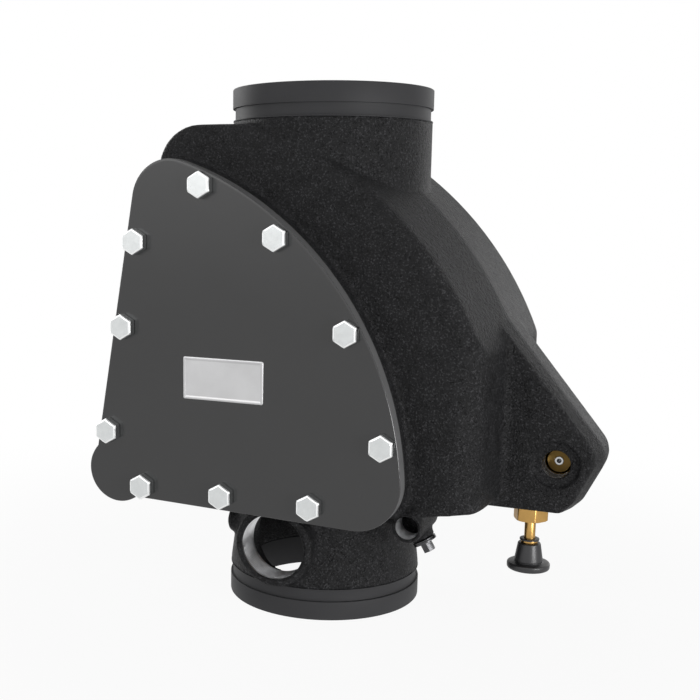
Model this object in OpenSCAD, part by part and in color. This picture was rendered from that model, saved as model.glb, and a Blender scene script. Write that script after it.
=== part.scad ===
// Dry pipe valve, DN 150, with grooved ends, a swinging clapper and an anti-reclosing latch.
// Millimetres. +Z runs up the waterway, -Y faces the cover, +X points to the latch lug.
// The origin is the centre of the inlet end.

/* [Pipe ends] */
// Height from the inlet end to the outlet end
valve_h = 435; // [432:1:440]
// Outside diameter of the grooved ends
pipe_od = 168.3; // [168:0.1:169]
// Plain land between an end and its groove
land_l = 15.9; // [15:0.1:17]
// Width of a coupling groove
groove_w = 9.5; // [8:0.5:10]
// Depth of a coupling groove
groove_depth = 2.16; // [1.5:0.01:2.5]
// Bore of the outlet
pipe_bore = 152; // [148:1:153]
// Bore of the inlet, below the seat
inlet_bore = 134; // [130:1:134]

/* [Housing] */
// Top of the housing
housing_top = 404; // [400:1:406]
// Underside of the housing
housing_low = 98; // [97:1:99]
// Right side of the housing below its round back
housing_right = 166; // [165:1:167]
// Wall thickness
wall = 11; // [10:0.5:11.5]
// Radius of the round back of the housing
drum_r = 307; // [306:1:308]
// Centre of the round back along X
drum_x = -120; // [-121:1:-119]
// Centre of the round back along Z
drum_z = 122; // [121:1:123]
// Front face of the housing
front_y = -86; // [-87:1:-85]
// Rear face of the housing
rear_y = 90; // [89:1:92]
// Half of the chamber's depth
chamber_y = 79; // [78.5:0.5:79.5]

/* [Cover] */
// Centre of the cover's curved side along X
arc_x = -172; // [-173:1:-171]
// Centre of the cover's curved side along Z
arc_z = 115; // [114:1:116]
// Radius of the cover's curved side
arc_r = 273; // [272:1:274]
// Thickness of the cover
cover_t = 12; // [10:0.5:12.5]
// Thickness of the gasket
gasket_t = 1.5; // [1:0.5:2]
// Lean of the cover's left side from upright, in degrees
lean = 9.84; // [9.5:0.1:10]
// Across flats of the cover bolts
bolt_af = 19.05; // [18:0.05:19.05]
// Diameter of the cover bolts
bolt_d = 12.7; // [12:0.1:12.7]

/* [Clapper] */
// Hinge axis along X
hinge_x = -148; // [-148:1:-147]
// Hinge axis along Z
hinge_z = 117; // [117:1:118]
// Radius of the clapper disc
disc_r = 76.5; // [76:0.5:77]
// Radius of the hinge pin
pin_r = 6.35; // [6:0.05:6.5]
// Top of the seat lands
seat_z = 113.5; // [113:0.5:114]

/* [Latch lug] */
// Pivot of the latch along X
pivot_x = 203; // [202:1:204]
// Pivot of the latch along Z
pivot_z = 140; // [139:1:141]
// Half width of the lug at its two faces
lug_y = 34; // [33:1:35]
// Axis of the reset plunger along X
reset_x = 181; // [180:1:182]
// Radius of the reset plunger
plunger_r = 4.5; // [4:0.1:4.6]

/* [Ports] */
// Bore radius of the 2 inch drain port
drain_r = 27.3; // [26:0.1:27.5]
// Bore radius of the 3/4 inch port in the latch lug
lug_port_r = 11; // [10:0.5:11.5]
// Bore radius of the 1/2 inch port under the housing
small_port_r = 9.2; // [8:0.1:9.5]

/* [Hidden] */
$fn = 144;

// Small length that takes a cut past a face
over = 1;
// Clearance on the radius of a running fit
run = 0.06;

// Pipe ends
pipe_r = pipe_od / 2;
edge_chamfer = 1;
// Radius of the inlet neck beside its groove, and at its waist
neck_r = 83.6;
waist_r = 80;
waist_z = 58;
neck_start_z = land_l + groove_w;
neck_straight = 4;
// How far the outlet's neck reaches down into the housing
outlet_root = 80;

// Corners of the housing
crown_r = 37;
crown = [-84, housing_top - crown_r];
heel_r = 20;
heel = [housing_right - heel_r, 125];
// The underside rises from here towards the heel
heel_start_x = 96;
heel_end_a = -100;
// The walls are straight from the rear to this far in front of the pipe's axis, and drafted from there
mid_y = 15;
front_draft = 12;
// Round edges: at the rear, at the front of the round back and at the front of the right side
rear_round = 15;
back_round = 10;
side_round = 24;
chamber_bevel = 10;
// Half length of cuts that pass the whole housing
past_y = 120;
corner_steps = 8;

// Cover outline
cover_back_y = front_y - 12;
cover_y = cover_back_y - cover_t;
flange_y = cover_back_y + gasket_t;
flange_back_y = -84;
top_corner_r = 34;
top_corner_a = 71.98;
low_corner_r = 38;
low_corner_a = 3.17;
top_corner = [arc_x, arc_z] + (arc_r - top_corner_r) * [cos(top_corner_a), sin(top_corner_a)];
low_corner = [arc_x, arc_z] + (arc_r - low_corner_r) * [cos(low_corner_a), sin(low_corner_a)];
cover_low = 95;
hinge = [hinge_x, hinge_z];
lobe_r = 27.8;
// How far the housing lies behind the edge of the flange around the hinge pin
lobe_step = 0.4;
opening_inset = 24;
// The left side passes through this point, and this far from the hinge pin
left_point = [-131.6, 346.2];
hinge_gap = (left_point.y - hinge_z) * sin(lean) - (left_point.x - hinge_x) * cos(lean);
function left_edge(z) = left_point.x - tan(lean) * (left_point.y - z);

// Cover bolts: along the curve, along the bottom and up the left side
bolt_arc_r = arc_r - 11;
bolt_angles = [66.6, 49.9, 29.7, 9.8];
bolt_low_x = [-122.7, -49.1, 28];
bolt_low_z = 106;
bolt_left_z = [310, 240, 151];
bolt_left_inset = 10.2;
bolt_places = concat(
    [for (a = bolt_angles) [arc_x, arc_z] + bolt_arc_r * [cos(a), sin(a)]],
    [for (x = bolt_low_x) [x, bolt_low_z]],
    [for (z = bolt_left_z) [left_edge(z) + bolt_left_inset, z]]
);
bolt_head_h = 8.5;
bolt_end_y = -82;
bolt_hole_end_y = -81;
bolt_clear_r = 7;

// Nameplate
plate_w = 71.1;
plate_h = 34.8;
plate_t = 1;
plate_at = [-49.15, 201.2];

// Seat
ring_r = 75.9;
ring_bore_r = 66;
land_w = 2.6;
ring_low = 98;
ring_groove_z = 109;
ring_foot_h = 1.5;
ring_chamfer = 0.4;
vent_r = 1.4;
vent_l = 20;
vent_step = 30;
ring_oring_r = 1.6;
ring_oring_z = 103;

// Hinge
hub_r = 15.5;
bush_r = 9;
lug_out_y = 60.5;
lug_in_y = 36;
spacer_r = 12;
boss_r = 15;
boss_y = 62;
pin_front_y = -95.5;
pin_rear_y = 84;

// Clapper
facing_z = seat_z + 0.1;
disc_low = 118;
disc_top = 126;
retainer_r = 62;
retainer_low = 111;
facing_in_r = 58;
facing_step_z = 114;
screw_circle_r = 46;
screw_count = 6;
screw_r = 3;
screw_head_r = 5.5;
screw_head_h = 3;
screw_l = 12;
centre_bolt_r = 8;
centre_bolt_l = 36;
centre_head_h = 7;
centre_af = 24;
washer_r = 15;
washer_t = 2;
nut_h = 8;
// Cuts through the whole clapper start here and are this long
cut_z = 100;
cut_l = 60;
arm_top_z = 136;
finger_x = 127.5;

// Latch
lever_half = 4;
nose = [128, 182];
lever_w = 12;
lever_eye_r = 13;
hub_af = 19.05;
hub_round_r = 8;
hub_front_y = -11;
pocket_y = 13;
latch_pin_r = 3.5;
latch_pin_y = -12;
latch_pin_end_y = 27;
spring_out_r = 10.6;

// Lug outline: at its two faces, and fuller at its middle where the mould parted
lug_low = 102;
lug_tip = [217.5, 146.5];
lug_tip_r = 15.5;
mid_grow = 5.5;
port_at = [203.5, 141];
// Flat recess around the port
port_recess_r = 18.8;
port_recess = 3.5;

// Reset
bushing_low = 86;
bushing_af = 25;
// Turns a corner of the bushing's hexagon to the front right
bushing_turn = 54;
bushing_r = 10.5;
seal_h = 2.4;
seal_w = 2;
rod_seal_z = 87.6;
rod_seal_w = 1.3;
bushing_top = 118;
spring_bore_r = 8;
spring_floor = 98;
collar_t = 2;
snap_t = 1.5;
plunger_top = 143.5;
knob_low = 43.8;
knob_top = 66;
knob_r = 17.5;

// Ports
drain_at = [-11.5, 62];
drain_face_y = -94;
drain_boss_r = 34;
drain_back_y = -30;
drain_thread_l = 20;
small_at = [100.8, 92];
small_face_y = -90;
small_thread_l = 30;
small_back_y = -38;
small_boss_r = 12.6;
web_r = 11;
web_l = 50;
passage_r = 2.5;
passage_z = 97.5;
passage_from = [small_at.x, small_face_y + small_thread_l - 2];
side_boss_r = 12;
side_boss_at = [-40, 66];
side_boss_x = -73;
side_boss_l = 30;

// Test plug: leans down and outwards from the small port boss
plug_from = [99.5, -63, 91];
plug_lean = 31;
plug_seat = 16.5;
plug_flange_r = 9.7;
plug_shank_r = 4;
plug_shank_l = 6.5;
plug_washer_t = 1;
plug_af = 9;
plug_flange_t = 1.8;
plug_hex_h = 8.5;
plug_turn = 17;

// Points of a round corner, from one angle to another
function corner(centre, r, from, to, steps = corner_steps) = [
    for (i = [0:steps]) let (a = from + (to - from) * i / steps)
        centre + r * [cos(a), sin(a)]
];

// A solid with its outline in the XZ plane, from y0 to y1
module along_y(y0, y1) {
    translate([0, y1, 0]) rotate([90, 0, 0]) linear_extrude(y1 - y0) children();
}

// A round bar parallel to Y at a point of the XZ plane
module bar_y(at, r, y0, y1) {
    translate([at.x, y1, at.y]) rotate([90, 0, 0]) cylinder(r = r, h = y1 - y0);
}

// A round tube parallel to Y
module tube_y(at, r_out, r_in, y0, y1) {
    difference() {
        bar_y(at, r_out, y0, y1);
        bar_y(at, r_in, y0 - over, y1 + over);
    }
}

// A round tube along Z
module tube_z(at, r_out, r_in, z0, z1) {
    translate([at.x, at.y, z0]) difference() {
        cylinder(r = r_out, h = z1 - z0);
        translate([0, 0, -over]) cylinder(r = r_in, h = z1 - z0 + 2 * over);
    }
}

// The cover's top corner, curved side and low corner, moved inwards by inset
function cover_curve(inset) = concat(
    corner(top_corner, top_corner_r - inset, 180 - lean, top_corner_a),
    corner([arc_x, arc_z], arc_r - inset, top_corner_a - 2, low_corner_a + 2, 32),
    corner(low_corner, low_corner_r - inset, low_corner_a, -90)
);

// Outline of the cover, its gasket and the body's flange, with a lobe around the hinge pin
module flange_outline() {
    lobe_start_a = acos((hinge_z - cover_low) / lobe_r) - 90;
    lobe_end_a = -180 - lean - acos(hinge_gap / lobe_r);
    polygon(concat(cover_curve(0), corner(hinge, lobe_r, lobe_start_a, lobe_end_a, 24)));
}

// The way through the flange, which leaves metal around the hinge pin
module opening_outline() {
    left_x = left_edge(hinge_z) + opening_inset / cos(lean);
    difference() {
        polygon(concat(
            cover_curve(opening_inset),
            [[hinge_x, cover_low + opening_inset], [left_x, hinge_z]]
        ));
        translate(hinge) circle(r = lobe_r - 1.8);
    }
}

module bolt_circles(r) {
    for (p = bolt_places) translate(p) circle(r = r);
}

// Side outline of the housing, moved inwards by inset
module housing_outline(inset) {
    polygon(concat(
        corner(crown, crown_r - inset, 180 - lean, 90),
        [[housing_right - inset, housing_top - inset]],
        corner(heel, heel_r - inset, 0, heel_end_a),
        [[heel_start_x, housing_low + inset]],
        [[hinge_x, housing_low + inset], [left_edge(hinge_z) + inset / cos(lean), hinge_z]]
    ));
    translate(hinge) circle(r = lobe_r - lobe_step - inset);
}

// Section of the outer wall from the rear to the front, r from its axis: the points are a distance and -y
function outer_wall(r, round) = concat(
    corner([r - rear_round, rear_round - rear_y], rear_round, -90, 0),
    [[r, mid_y]],
    corner(
        [
            r - tan(front_draft) * (-front_y - round - mid_y) - round / cos(front_draft),
            -front_y - round
        ],
        round, front_draft, 90
    )
);

// Section of the chamber's wall, inside that of an outer wall
function inner_wall(r) =
    let (
        deep = r - wall,
        bevel_y = chamber_y - chamber_bevel,
        front = deep - tan(front_draft) * (bevel_y - mid_y)
    ) [
        [deep - chamber_bevel, -chamber_y],
        [deep, -bevel_y],
        [deep, mid_y],
        [front, bevel_y],
        [front - chamber_bevel, chamber_y]
    ];

// The round back: a wheel about an axis parallel to Y, with the given section
module wheel(section) {
    last = section[len(section) - 1];
    translate([drum_x, 0, drum_z]) rotate([90, 0, 0]) rotate_extrude()
        polygon(concat([[0, section[0].y]], section, [[0, last.y]]));
}

// An upright block whose right side has the given section
module block(section) {
    last = section[len(section) - 1];
    linear_extrude(housing_top + over) polygon(concat(
        [[-200, -section[0].y]],
        [for (p = section) [p.x, -p.y]],
        [[-200, -last.y]]
    ));
}

// A grooved pipe end from its face at z = 0 up to z = top, with its neck above
module grooved_end(top, waist_at, waist) {
    rotate_extrude() polygon([
        [0, 0],
        [pipe_r - edge_chamfer, 0],
        [pipe_r, edge_chamfer],
        [pipe_r, land_l],
        [pipe_r - groove_depth, land_l],
        [pipe_r - groove_depth, neck_start_z],
        [neck_r, neck_start_z],
        [neck_r, neck_start_z + neck_straight],
        [waist, waist_at],
        [waist, top],
        [0, top]
    ]);
}

// Outline of one face of the latch lug, fuller by grow along its outer edges
module lug_outline(grow) {
    polygon([
        [118, lug_low + 1],
        [150, 250 + 1.3 * grow],
        [155, 249.4 + 1.3 * grow],
        [217.4 + 1.1 * grow, 111],
        [208 + 1.1 * grow, lug_low],
        [125, lug_low]
    ]);
    translate(lug_tip) circle(r = lug_tip_r + grow, $fn = 32);
}

// The lug narrows from its straight middle to its two faces, as the mould's draft leaves it
module latch_lug() {
    skin = 0.2;
    hull() {
        along_y(-lug_y, skin - lug_y) lug_outline(0);
        along_y(-mid_y, mid_y) lug_outline(mid_grow);
        along_y(lug_y - skin, lug_y) lug_outline(0);
    }
}

// Room for the latch lever, open to the chamber
module latch_pocket() {
    along_y(-pocket_y, pocket_y) polygon([
        [housing_right - 2 * wall, lug_low + wall],
        [208, lug_low + wall],
        [222, 134],
        [219, 157],
        [170, 216],
        [housing_right - 2 * wall, 216]
    ]);
}

module plug_frame() {
    translate(plug_from) rotate([0, 180 - plug_lean, 0]) children();
}

// Places what runs level from the end of the small port towards the middle of the seat ring
module to_seat(up = 0) {
    translate([passage_from.x, passage_from.y, small_at.y + up])
        rotate([0, 0, atan2(-passage_from.y, -passage_from.x)]) rotate([0, 90, 0]) children();
}

module body_outside() {
    intersection() {
        wheel(outer_wall(drum_r, back_round));
        block(outer_wall(housing_right, side_round));
        along_y(-past_y, past_y) housing_outline(0);
    }
    along_y(flange_y, flange_back_y) flange_outline();
    grooved_end(ring_low + 5, waist_z, waist_r);
    translate([0, 0, valve_h]) mirror([0, 0, 1])
        grooved_end(valve_h - housing_top + outlet_root, waist_z, neck_r);
    latch_lug();
    bar_y(drain_at, drain_boss_r, drain_face_y, drain_back_y);
    bar_y(small_at, small_boss_r, small_face_y, small_back_y);
    translate([side_boss_x, side_boss_at.x, side_boss_at.y]) rotate([0, 90, 0])
        cylinder(r = side_boss_r, h = side_boss_l);
    plug_frame() cylinder(r = plug_flange_r + 0.3, h = plug_seat);
    // Web that carries the small port's passage to the seat
    to_seat() cylinder(r = web_r, h = web_l);
}

module body_chamber() {
    intersection() {
        wheel(inner_wall(drum_r));
        block(inner_wall(housing_right));
        along_y(-chamber_y - over, chamber_y + over) housing_outline(wall);
    }
    along_y(flange_y - over, -chamber_y + over) opening_outline();
    latch_pocket();
}

// Bosses that hold the ends of the hinge pin, with a clear gap for the clapper's lugs
module hinge_bosses() {
    bar_y(hinge, boss_r, flange_y + 2, -boss_y);
    bar_y(hinge, boss_r, boss_y, chamber_y + 2);
}

module body_bores() {
    // Waterway: inlet, seat pocket and outlet
    translate([0, 0, -over]) cylinder(d = inlet_bore, h = ring_low + 2 * over);
    translate([0, 0, ring_low]) cylinder(r = ring_r, h = disc_low - ring_low);
    translate([0, 0, valve_h - outlet_root - wall]) cylinder(d = pipe_bore, h = outlet_root + wall + over);
    // Hinge pin
    bar_y(hinge, pin_r, flange_y - over, pin_rear_y);
    // Cover bolts
    along_y(flange_y - over, bolt_hole_end_y) bolt_circles(bolt_d / 2);
    // Drain: a threaded length, then a slightly wider cast passage
    bar_y(drain_at, drain_r, drain_face_y - over, drain_back_y - 10);
    bar_y(drain_at, drain_r + 1.2, drain_face_y + drain_thread_l, drain_back_y - 10);
    // Small port and its passage to the groove under the seat ring
    bar_y(small_at, small_port_r, small_face_y - over, small_face_y + small_thread_l);
    to_seat(passage_z - small_at.y)
        cylinder(r = passage_r, h = norm(passage_from) - ring_bore_r - 3.5);
    // Test plug
    plug_frame() cylinder(r = plug_shank_r, h = plug_seat + over);
    // Port in the latch lug, and the recess around it
    bar_y(port_at, lug_port_r, -lug_y - over, 0);
    bar_y(port_at, port_recess_r, -lug_y - over, -lug_y + port_recess);
    // Latch pivot pin
    bar_y([pivot_x, pivot_z], latch_pin_r, 0, latch_pin_end_y + over);
    // Reset bushing and the seat of its seal
    translate([reset_x, 0, lug_low - over]) cylinder(r = bushing_r, h = wall + 2 * over);
    translate([reset_x, 0, lug_low - over]) cylinder(r = bushing_r + seal_w, h = seal_h + over);
}

module valve_body() {
    color("#1e1e20") difference() {
        union() {
            difference() {
                body_outside();
                body_chamber();
            }
            hinge_bosses();
        }
        body_bores();
    }
}

// Seat ring: two raised lands, with vents from the groove between them to the groove underneath
module seat_ring() {
    groove_in = ring_bore_r + land_w;
    groove_out = ring_r - ring_chamfer - land_w;
    color("#b08d4a") difference() {
        rotate_extrude() polygon([
            [ring_bore_r, ring_low],
            [groove_in, ring_low],
            [groove_in, ring_low + ring_foot_h],
            [groove_out, ring_low + ring_foot_h],
            [groove_out, ring_low],
            [ring_r, ring_low],
            [ring_r, ring_oring_z - ring_oring_r],
            [ring_r - 2 * ring_oring_r, ring_oring_z - ring_oring_r],
            [ring_r - 2 * ring_oring_r, ring_oring_z + ring_oring_r],
            [ring_r, ring_oring_z + ring_oring_r],
            [ring_r, seat_z - 1],
            [ring_r - ring_chamfer, seat_z],
            [groove_out, seat_z],
            [groove_out, ring_groove_z],
            [groove_in, ring_groove_z],
            [groove_in, seat_z],
            [ring_bore_r, seat_z]
        ]);
        for (turn = [0:vent_step:359]) rotate([0, 0, turn])
            translate([(groove_in + groove_out) / 2, 0, ring_low - over])
                cylinder(r = vent_r, h = vent_l, $fn = 24);
    }
}

module seat_o_ring() {
    color("#151515") tube_z([0, 0], ring_r, ring_r - 2 * ring_oring_r,
        ring_oring_z - ring_oring_r, ring_oring_z + ring_oring_r);
}

module cover_gasket() {
    color("#303030") along_y(cover_back_y, flange_y) difference() {
        flange_outline();
        opening_outline();
        bolt_circles(bolt_clear_r);
    }
}

module cover_plate() {
    color("#3d3d3f") along_y(cover_y, cover_back_y) difference() {
        flange_outline();
        bolt_circles(bolt_clear_r);
    }
}

module cover_bolts() {
    color("#cfd2d2") for (p = bolt_places) {
        translate([p.x, cover_y, p.y]) rotate([90, 0, 0]) rotate([0, 0, 30])
            cylinder(d = bolt_af / cos(30), h = bolt_head_h, $fn = 6);
        bar_y(p, bolt_d / 2, cover_y, bolt_end_y);
    }
}

// Bare metal plate
module nameplate() {
    color("#c3c3c3") along_y(cover_y - plate_t, cover_y)
        translate(plate_at) square([plate_w, plate_h], center = true);
}

module hinge_pin() {
    color("#a7a9ab") bar_y(hinge, pin_r, pin_front_y, pin_rear_y);
}

module front_hinge_spacer() {
    color("#9a8348") tube_y(hinge, spacer_r, pin_r, -boss_y, -lug_out_y - 0.2);
}

module rear_hinge_spacer() {
    color("#9a8348") tube_y(hinge, spacer_r, pin_r, lug_out_y + 0.2, boss_y);
}

// Plan of the clapper arm: a fork at the hinge that narrows to the latch finger
module arm_plan() {
    half = [
        [-165, lug_out_y], [-118, lug_out_y], [-40, 27], [30, 24], [104, 13], [finger_x, 13]
    ];
    back = [for (i = [len(half) - 1:-1:0]) [half[i].x, -half[i].y]];
    difference() {
        polygon(concat(half, back));
        translate([-180, -lug_in_y]) square([64, 2 * lug_in_y]);
    }
}

module arm_side() {
    polygon([
        [hinge_x, hinge_z + 12],
        [hinge_x, hinge_z - 11],
        [hinge_x + 12, 110.5],
        [-88, 112],
        [-78.5, disc_top],
        [86, disc_top],
        [98, 120],
        [finger_x, 120],
        [finger_x, 129],
        [110, 132],
        [40, arm_top_z],
        [-76, arm_top_z],
        [-90, hinge_z + 12]
    ]);
}

module clapper_arm() {
    color("#b5893c") difference() {
        union() {
            intersection() {
                along_y(-lug_out_y, lug_out_y) arm_side();
                translate([0, 0, 90]) linear_extrude(70) arm_plan();
            }
            bar_y(hinge, hub_r, -lug_out_y, -lug_in_y);
            bar_y(hinge, hub_r, lug_in_y, lug_out_y);
        }
        bar_y(hinge, bush_r, -lug_out_y - over, lug_out_y + over);
        translate([0, 0, cut_z]) cylinder(r = centre_bolt_r, h = cut_l);
    }
}

module hinge_bush(y0, y1) {
    color("#8f6b2e") tube_y(hinge, bush_r, pin_r + run, y0, y1);
}

module front_hinge_bush() { hinge_bush(-lug_out_y, -lug_in_y); }

module rear_hinge_bush() { hinge_bush(lug_in_y, lug_out_y); }

// Places of the screws that hold the facing retainer
module screw_ring() {
    for (i = [0:screw_count - 1]) rotate([0, 0, 30 + i * 360 / screw_count])
        translate([screw_circle_r, 0, 0]) children();
}

// Holes for the retainer's screws
module screw_holes() {
    screw_ring() translate([0, 0, cut_z]) cylinder(r = screw_r, h = retainer_low + screw_l + over - cut_z);
}

module clapper_disc() {
    color("#b5893c") difference() {
        translate([0, 0, disc_low]) cylinder(r = disc_r, h = disc_top - disc_low);
        translate([0, 0, cut_z]) cylinder(r = centre_bolt_r, h = cut_l);
        screw_holes();
    }
}

// Rubber ring, stepped where the retainer holds it
module clapper_facing() {
    color("#161616") rotate_extrude() polygon([
        [facing_in_r, facing_step_z],
        [retainer_r + 0.3, facing_step_z],
        [retainer_r + 0.3, facing_z],
        [disc_r, facing_z],
        [disc_r, disc_low],
        [facing_in_r, disc_low]
    ]);
}

module facing_retainer() {
    color("#a8abad") difference() {
        union() {
            translate([0, 0, retainer_low]) cylinder(r = retainer_r, h = facing_step_z - retainer_low);
            translate([0, 0, facing_step_z]) cylinder(r = facing_in_r, h = disc_low - facing_step_z);
        }
        translate([0, 0, cut_z]) cylinder(r = centre_bolt_r, h = cut_l);
        screw_holes();
    }
}

module retainer_screws() {
    color("#c4c6c8") screw_ring() {
        translate([0, 0, retainer_low - screw_head_h]) cylinder(r = screw_head_r, h = screw_head_h);
        translate([0, 0, retainer_low]) cylinder(r = screw_r, h = screw_l);
    }
}

module clapper_bolt() {
    color("#c4c6c8") {
        translate([0, 0, retainer_low - centre_head_h])
            cylinder(d = centre_af / cos(30), h = centre_head_h, $fn = 6);
        translate([0, 0, retainer_low]) cylinder(r = centre_bolt_r, h = centre_bolt_l);
    }
}

module clapper_washer() {
    color("#b9bbbd") tube_z([0, 0], washer_r, centre_bolt_r, arm_top_z, arm_top_z + washer_t);
}

module clapper_nut() {
    color("#c4c6c8") translate([0, 0, arm_top_z + washer_t]) difference() {
        cylinder(d = centre_af / cos(30), h = nut_h, $fn = 6);
        translate([0, 0, -over]) cylinder(r = centre_bolt_r, h = nut_h + 2 * over);
    }
}

// Lever with a tooth that would stop the clapper's finger on its way down
module latch_lever() {
    pivot = [pivot_x, pivot_z];
    reach = nose - pivot;
    way = reach / norm(reach);
    side = [way.y, -way.x] * lever_w / 2;
    color("#b9832f") difference() {
        union() {
            along_y(-lever_half, lever_half) polygon([
                pivot - side,
                nose - side,
                nose + 4 * way,
                nose + side + [2, -3],
                nose + side - 12 * way,
                pivot + side
            ]);
            bar_y(pivot, lever_eye_r, -lever_half, lever_half);
        }
        bar_y(pivot, hub_round_r, -lever_half - over, lever_half + over);
    }
}

module latch_hub() {
    pivot = [pivot_x, pivot_z];
    color("#c98f35") difference() {
        union() {
            translate([pivot_x, -lever_half, pivot_z]) rotate([90, 0, 0])
                cylinder(d = hub_af / cos(30), h = -hub_front_y - lever_half, $fn = 6);
            bar_y(pivot, hub_round_r, -lever_half, pocket_y - 0.5);
        }
        bar_y(pivot, latch_pin_r + run, hub_front_y - over, pocket_y);
    }
}

module latch_pivot_pin() {
    pivot = [pivot_x, pivot_z];
    color("#c8cacc") difference() {
        bar_y(pivot, latch_pin_r, latch_pin_y, latch_pin_end_y);
        bar_y(pivot, latch_pin_r / 2, latch_pin_y - over, lever_half);
    }
}

// Torsion spring of the latch, as the tube that its coils fill
module latch_spring() {
    color("#8d9092") tube_y([pivot_x, pivot_z], spring_out_r, hub_round_r + 0.4,
        lever_half, pocket_y - 1);
}

module reset_bushing() {
    color("#d19a48") translate([reset_x, 0, 0]) difference() {
        union() {
            translate([0, 0, bushing_low]) rotate([0, 0, bushing_turn])
                cylinder(d = bushing_af / cos(30), h = lug_low - bushing_low, $fn = 6);
            translate([0, 0, spring_floor]) cylinder(r = bushing_r, h = bushing_top - spring_floor);
        }
        translate([0, 0, bushing_low - over])
            cylinder(r = plunger_r + run, h = spring_floor - bushing_low + 2 * over);
        translate([0, 0, spring_floor]) cylinder(r = spring_bore_r, h = bushing_top - spring_floor + over);
    }
}

module bushing_o_ring() {
    color("#151515") tube_z([reset_x, 0], bushing_r + seal_w, bushing_r, lug_low, lug_low + seal_h);
}

module bushing_retaining_ring() {
    color("#9c9fa1") tube_z([reset_x, 0], spring_bore_r, plunger_r + 0.6, bushing_top - snap_t, bushing_top);
}

// Plunger: a rod with a collar under its spring, a seal groove and a rounded tip
module reset_plunger() {
    color("#c98f35") translate([reset_x, 0, 0]) rotate_extrude() polygon([
        [0, knob_low + 9],
        [plunger_r, knob_low + 9],
        [plunger_r, rod_seal_z],
        [plunger_r - rod_seal_w, rod_seal_z],
        [plunger_r - rod_seal_w, rod_seal_z + seal_h],
        [plunger_r, rod_seal_z + seal_h],
        [plunger_r, spring_floor + 0.05],
        [spring_bore_r - 0.3, spring_floor + 0.05],
        [spring_bore_r - 0.3, spring_floor + collar_t],
        [plunger_r, spring_floor + collar_t],
        [plunger_r, plunger_top - 3.5],
        [2, plunger_top],
        [0, plunger_top]
    ]);
}

module plunger_o_ring() {
    color("#151515") tube_z([reset_x, 0], plunger_r, plunger_r - rod_seal_w, rod_seal_z, rod_seal_z + seal_h);
}

// Return spring, as the tube that its coils fill
module reset_spring() {
    color("#8d9092") tube_z([reset_x, 0], spring_bore_r - 0.4, spring_bore_r - 1.8,
        spring_floor + collar_t, bushing_top - snap_t);
}

module reset_knob() {
    color("#2b2b2d") translate([reset_x, 0, 0]) rotate_extrude() polygon([
        [0, knob_low],
        [knob_r - 2, knob_low],
        [knob_r, knob_low + 1.6],
        [knob_r, knob_low + 4.5],
        [knob_r - 1.2, knob_low + 5.5],
        [11.2, knob_low + 6],
        [11.7, knob_low + 6.8],
        [9.3, knob_top - 1],
        [8.3, knob_top],
        [plunger_r, knob_top],
        [plunger_r, knob_low + 9],
        [0, knob_low + 9]
    ]);
}

module knob_nut() {
    color("#d19a48") tube_z([reset_x, 0], 6.8, plunger_r, knob_top, knob_top + 2.2);
}

module knob_washer() {
    color("#1a1a1a") tube_z([reset_x, 0], 8, plunger_r, knob_top + 2.2, knob_top + 3.6);
}

module test_plug_washer() {
    color("#5a5a5a") plug_frame() translate([0, 0, plug_seat]) difference() {
        cylinder(r = plug_flange_r, h = plug_washer_t);
        translate([0, 0, -over]) cylinder(r = plug_shank_r, h = 2 * over + plug_washer_t);
    }
}

module test_plug() {
    color("#3a3a3c") plug_frame() {
        translate([0, 0, plug_seat - plug_shank_l])
            cylinder(r = plug_shank_r, h = plug_shank_l + plug_washer_t + over);
        translate([0, 0, plug_seat + plug_washer_t]) cylinder(r = plug_flange_r, h = plug_flange_t);
        translate([0, 0, plug_seat + plug_washer_t + 1]) rotate([0, 0, plug_turn])
            cylinder(d = plug_af / cos(30), h = plug_hex_h, $fn = 6);
    }
}

valve_body();
seat_ring();
seat_o_ring();
cover_gasket();
cover_plate();
cover_bolts();
nameplate();
hinge_pin();
front_hinge_spacer();
rear_hinge_spacer();
clapper_arm();
front_hinge_bush();
rear_hinge_bush();
clapper_disc();
clapper_facing();
facing_retainer();
retainer_screws();
clapper_bolt();
clapper_washer();
clapper_nut();
latch_lever();
latch_hub();
latch_pivot_pin();
latch_spring();
reset_bushing();
bushing_o_ring();
bushing_retaining_ring();
reset_plunger();
plunger_o_ring();
reset_spring();
reset_knob();
knob_nut();
knob_washer();
test_plug();
test_plug_washer();
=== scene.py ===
"""Looks of a dry pipe valve: a rough black casting, its bolted cover, trim and working parts.

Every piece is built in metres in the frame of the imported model: +Z runs up the waterway, -Y faces
the cover and +X points to the latch lug. Shapes are numpy grids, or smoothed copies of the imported
solids, and every finish is procedural.
"""

import logging
import math
from dataclasses import dataclass
from enum import Enum
from typing import Any, Callable, Iterable, Optional, Sequence, Union

import bmesh
import bpy
import numpy as np
from mathutils import Matrix, Vector


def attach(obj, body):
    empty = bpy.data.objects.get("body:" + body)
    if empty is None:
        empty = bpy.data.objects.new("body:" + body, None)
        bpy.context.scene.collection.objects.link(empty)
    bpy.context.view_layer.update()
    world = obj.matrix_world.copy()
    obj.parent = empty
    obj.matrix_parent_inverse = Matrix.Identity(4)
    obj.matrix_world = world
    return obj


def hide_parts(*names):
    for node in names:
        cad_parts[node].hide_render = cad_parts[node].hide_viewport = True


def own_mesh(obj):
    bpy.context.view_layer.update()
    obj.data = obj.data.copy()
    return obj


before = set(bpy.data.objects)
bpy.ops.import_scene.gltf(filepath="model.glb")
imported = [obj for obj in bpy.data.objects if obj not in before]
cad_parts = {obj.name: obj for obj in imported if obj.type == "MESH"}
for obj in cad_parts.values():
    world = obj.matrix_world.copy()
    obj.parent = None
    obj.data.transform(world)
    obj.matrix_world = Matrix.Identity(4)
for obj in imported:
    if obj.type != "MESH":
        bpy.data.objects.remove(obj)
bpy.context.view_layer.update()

LOG = logging.getLogger("valve")
MM = 0.001
TURN = 2.0 * math.pi
IMAGE_SIZE = 700
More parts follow.
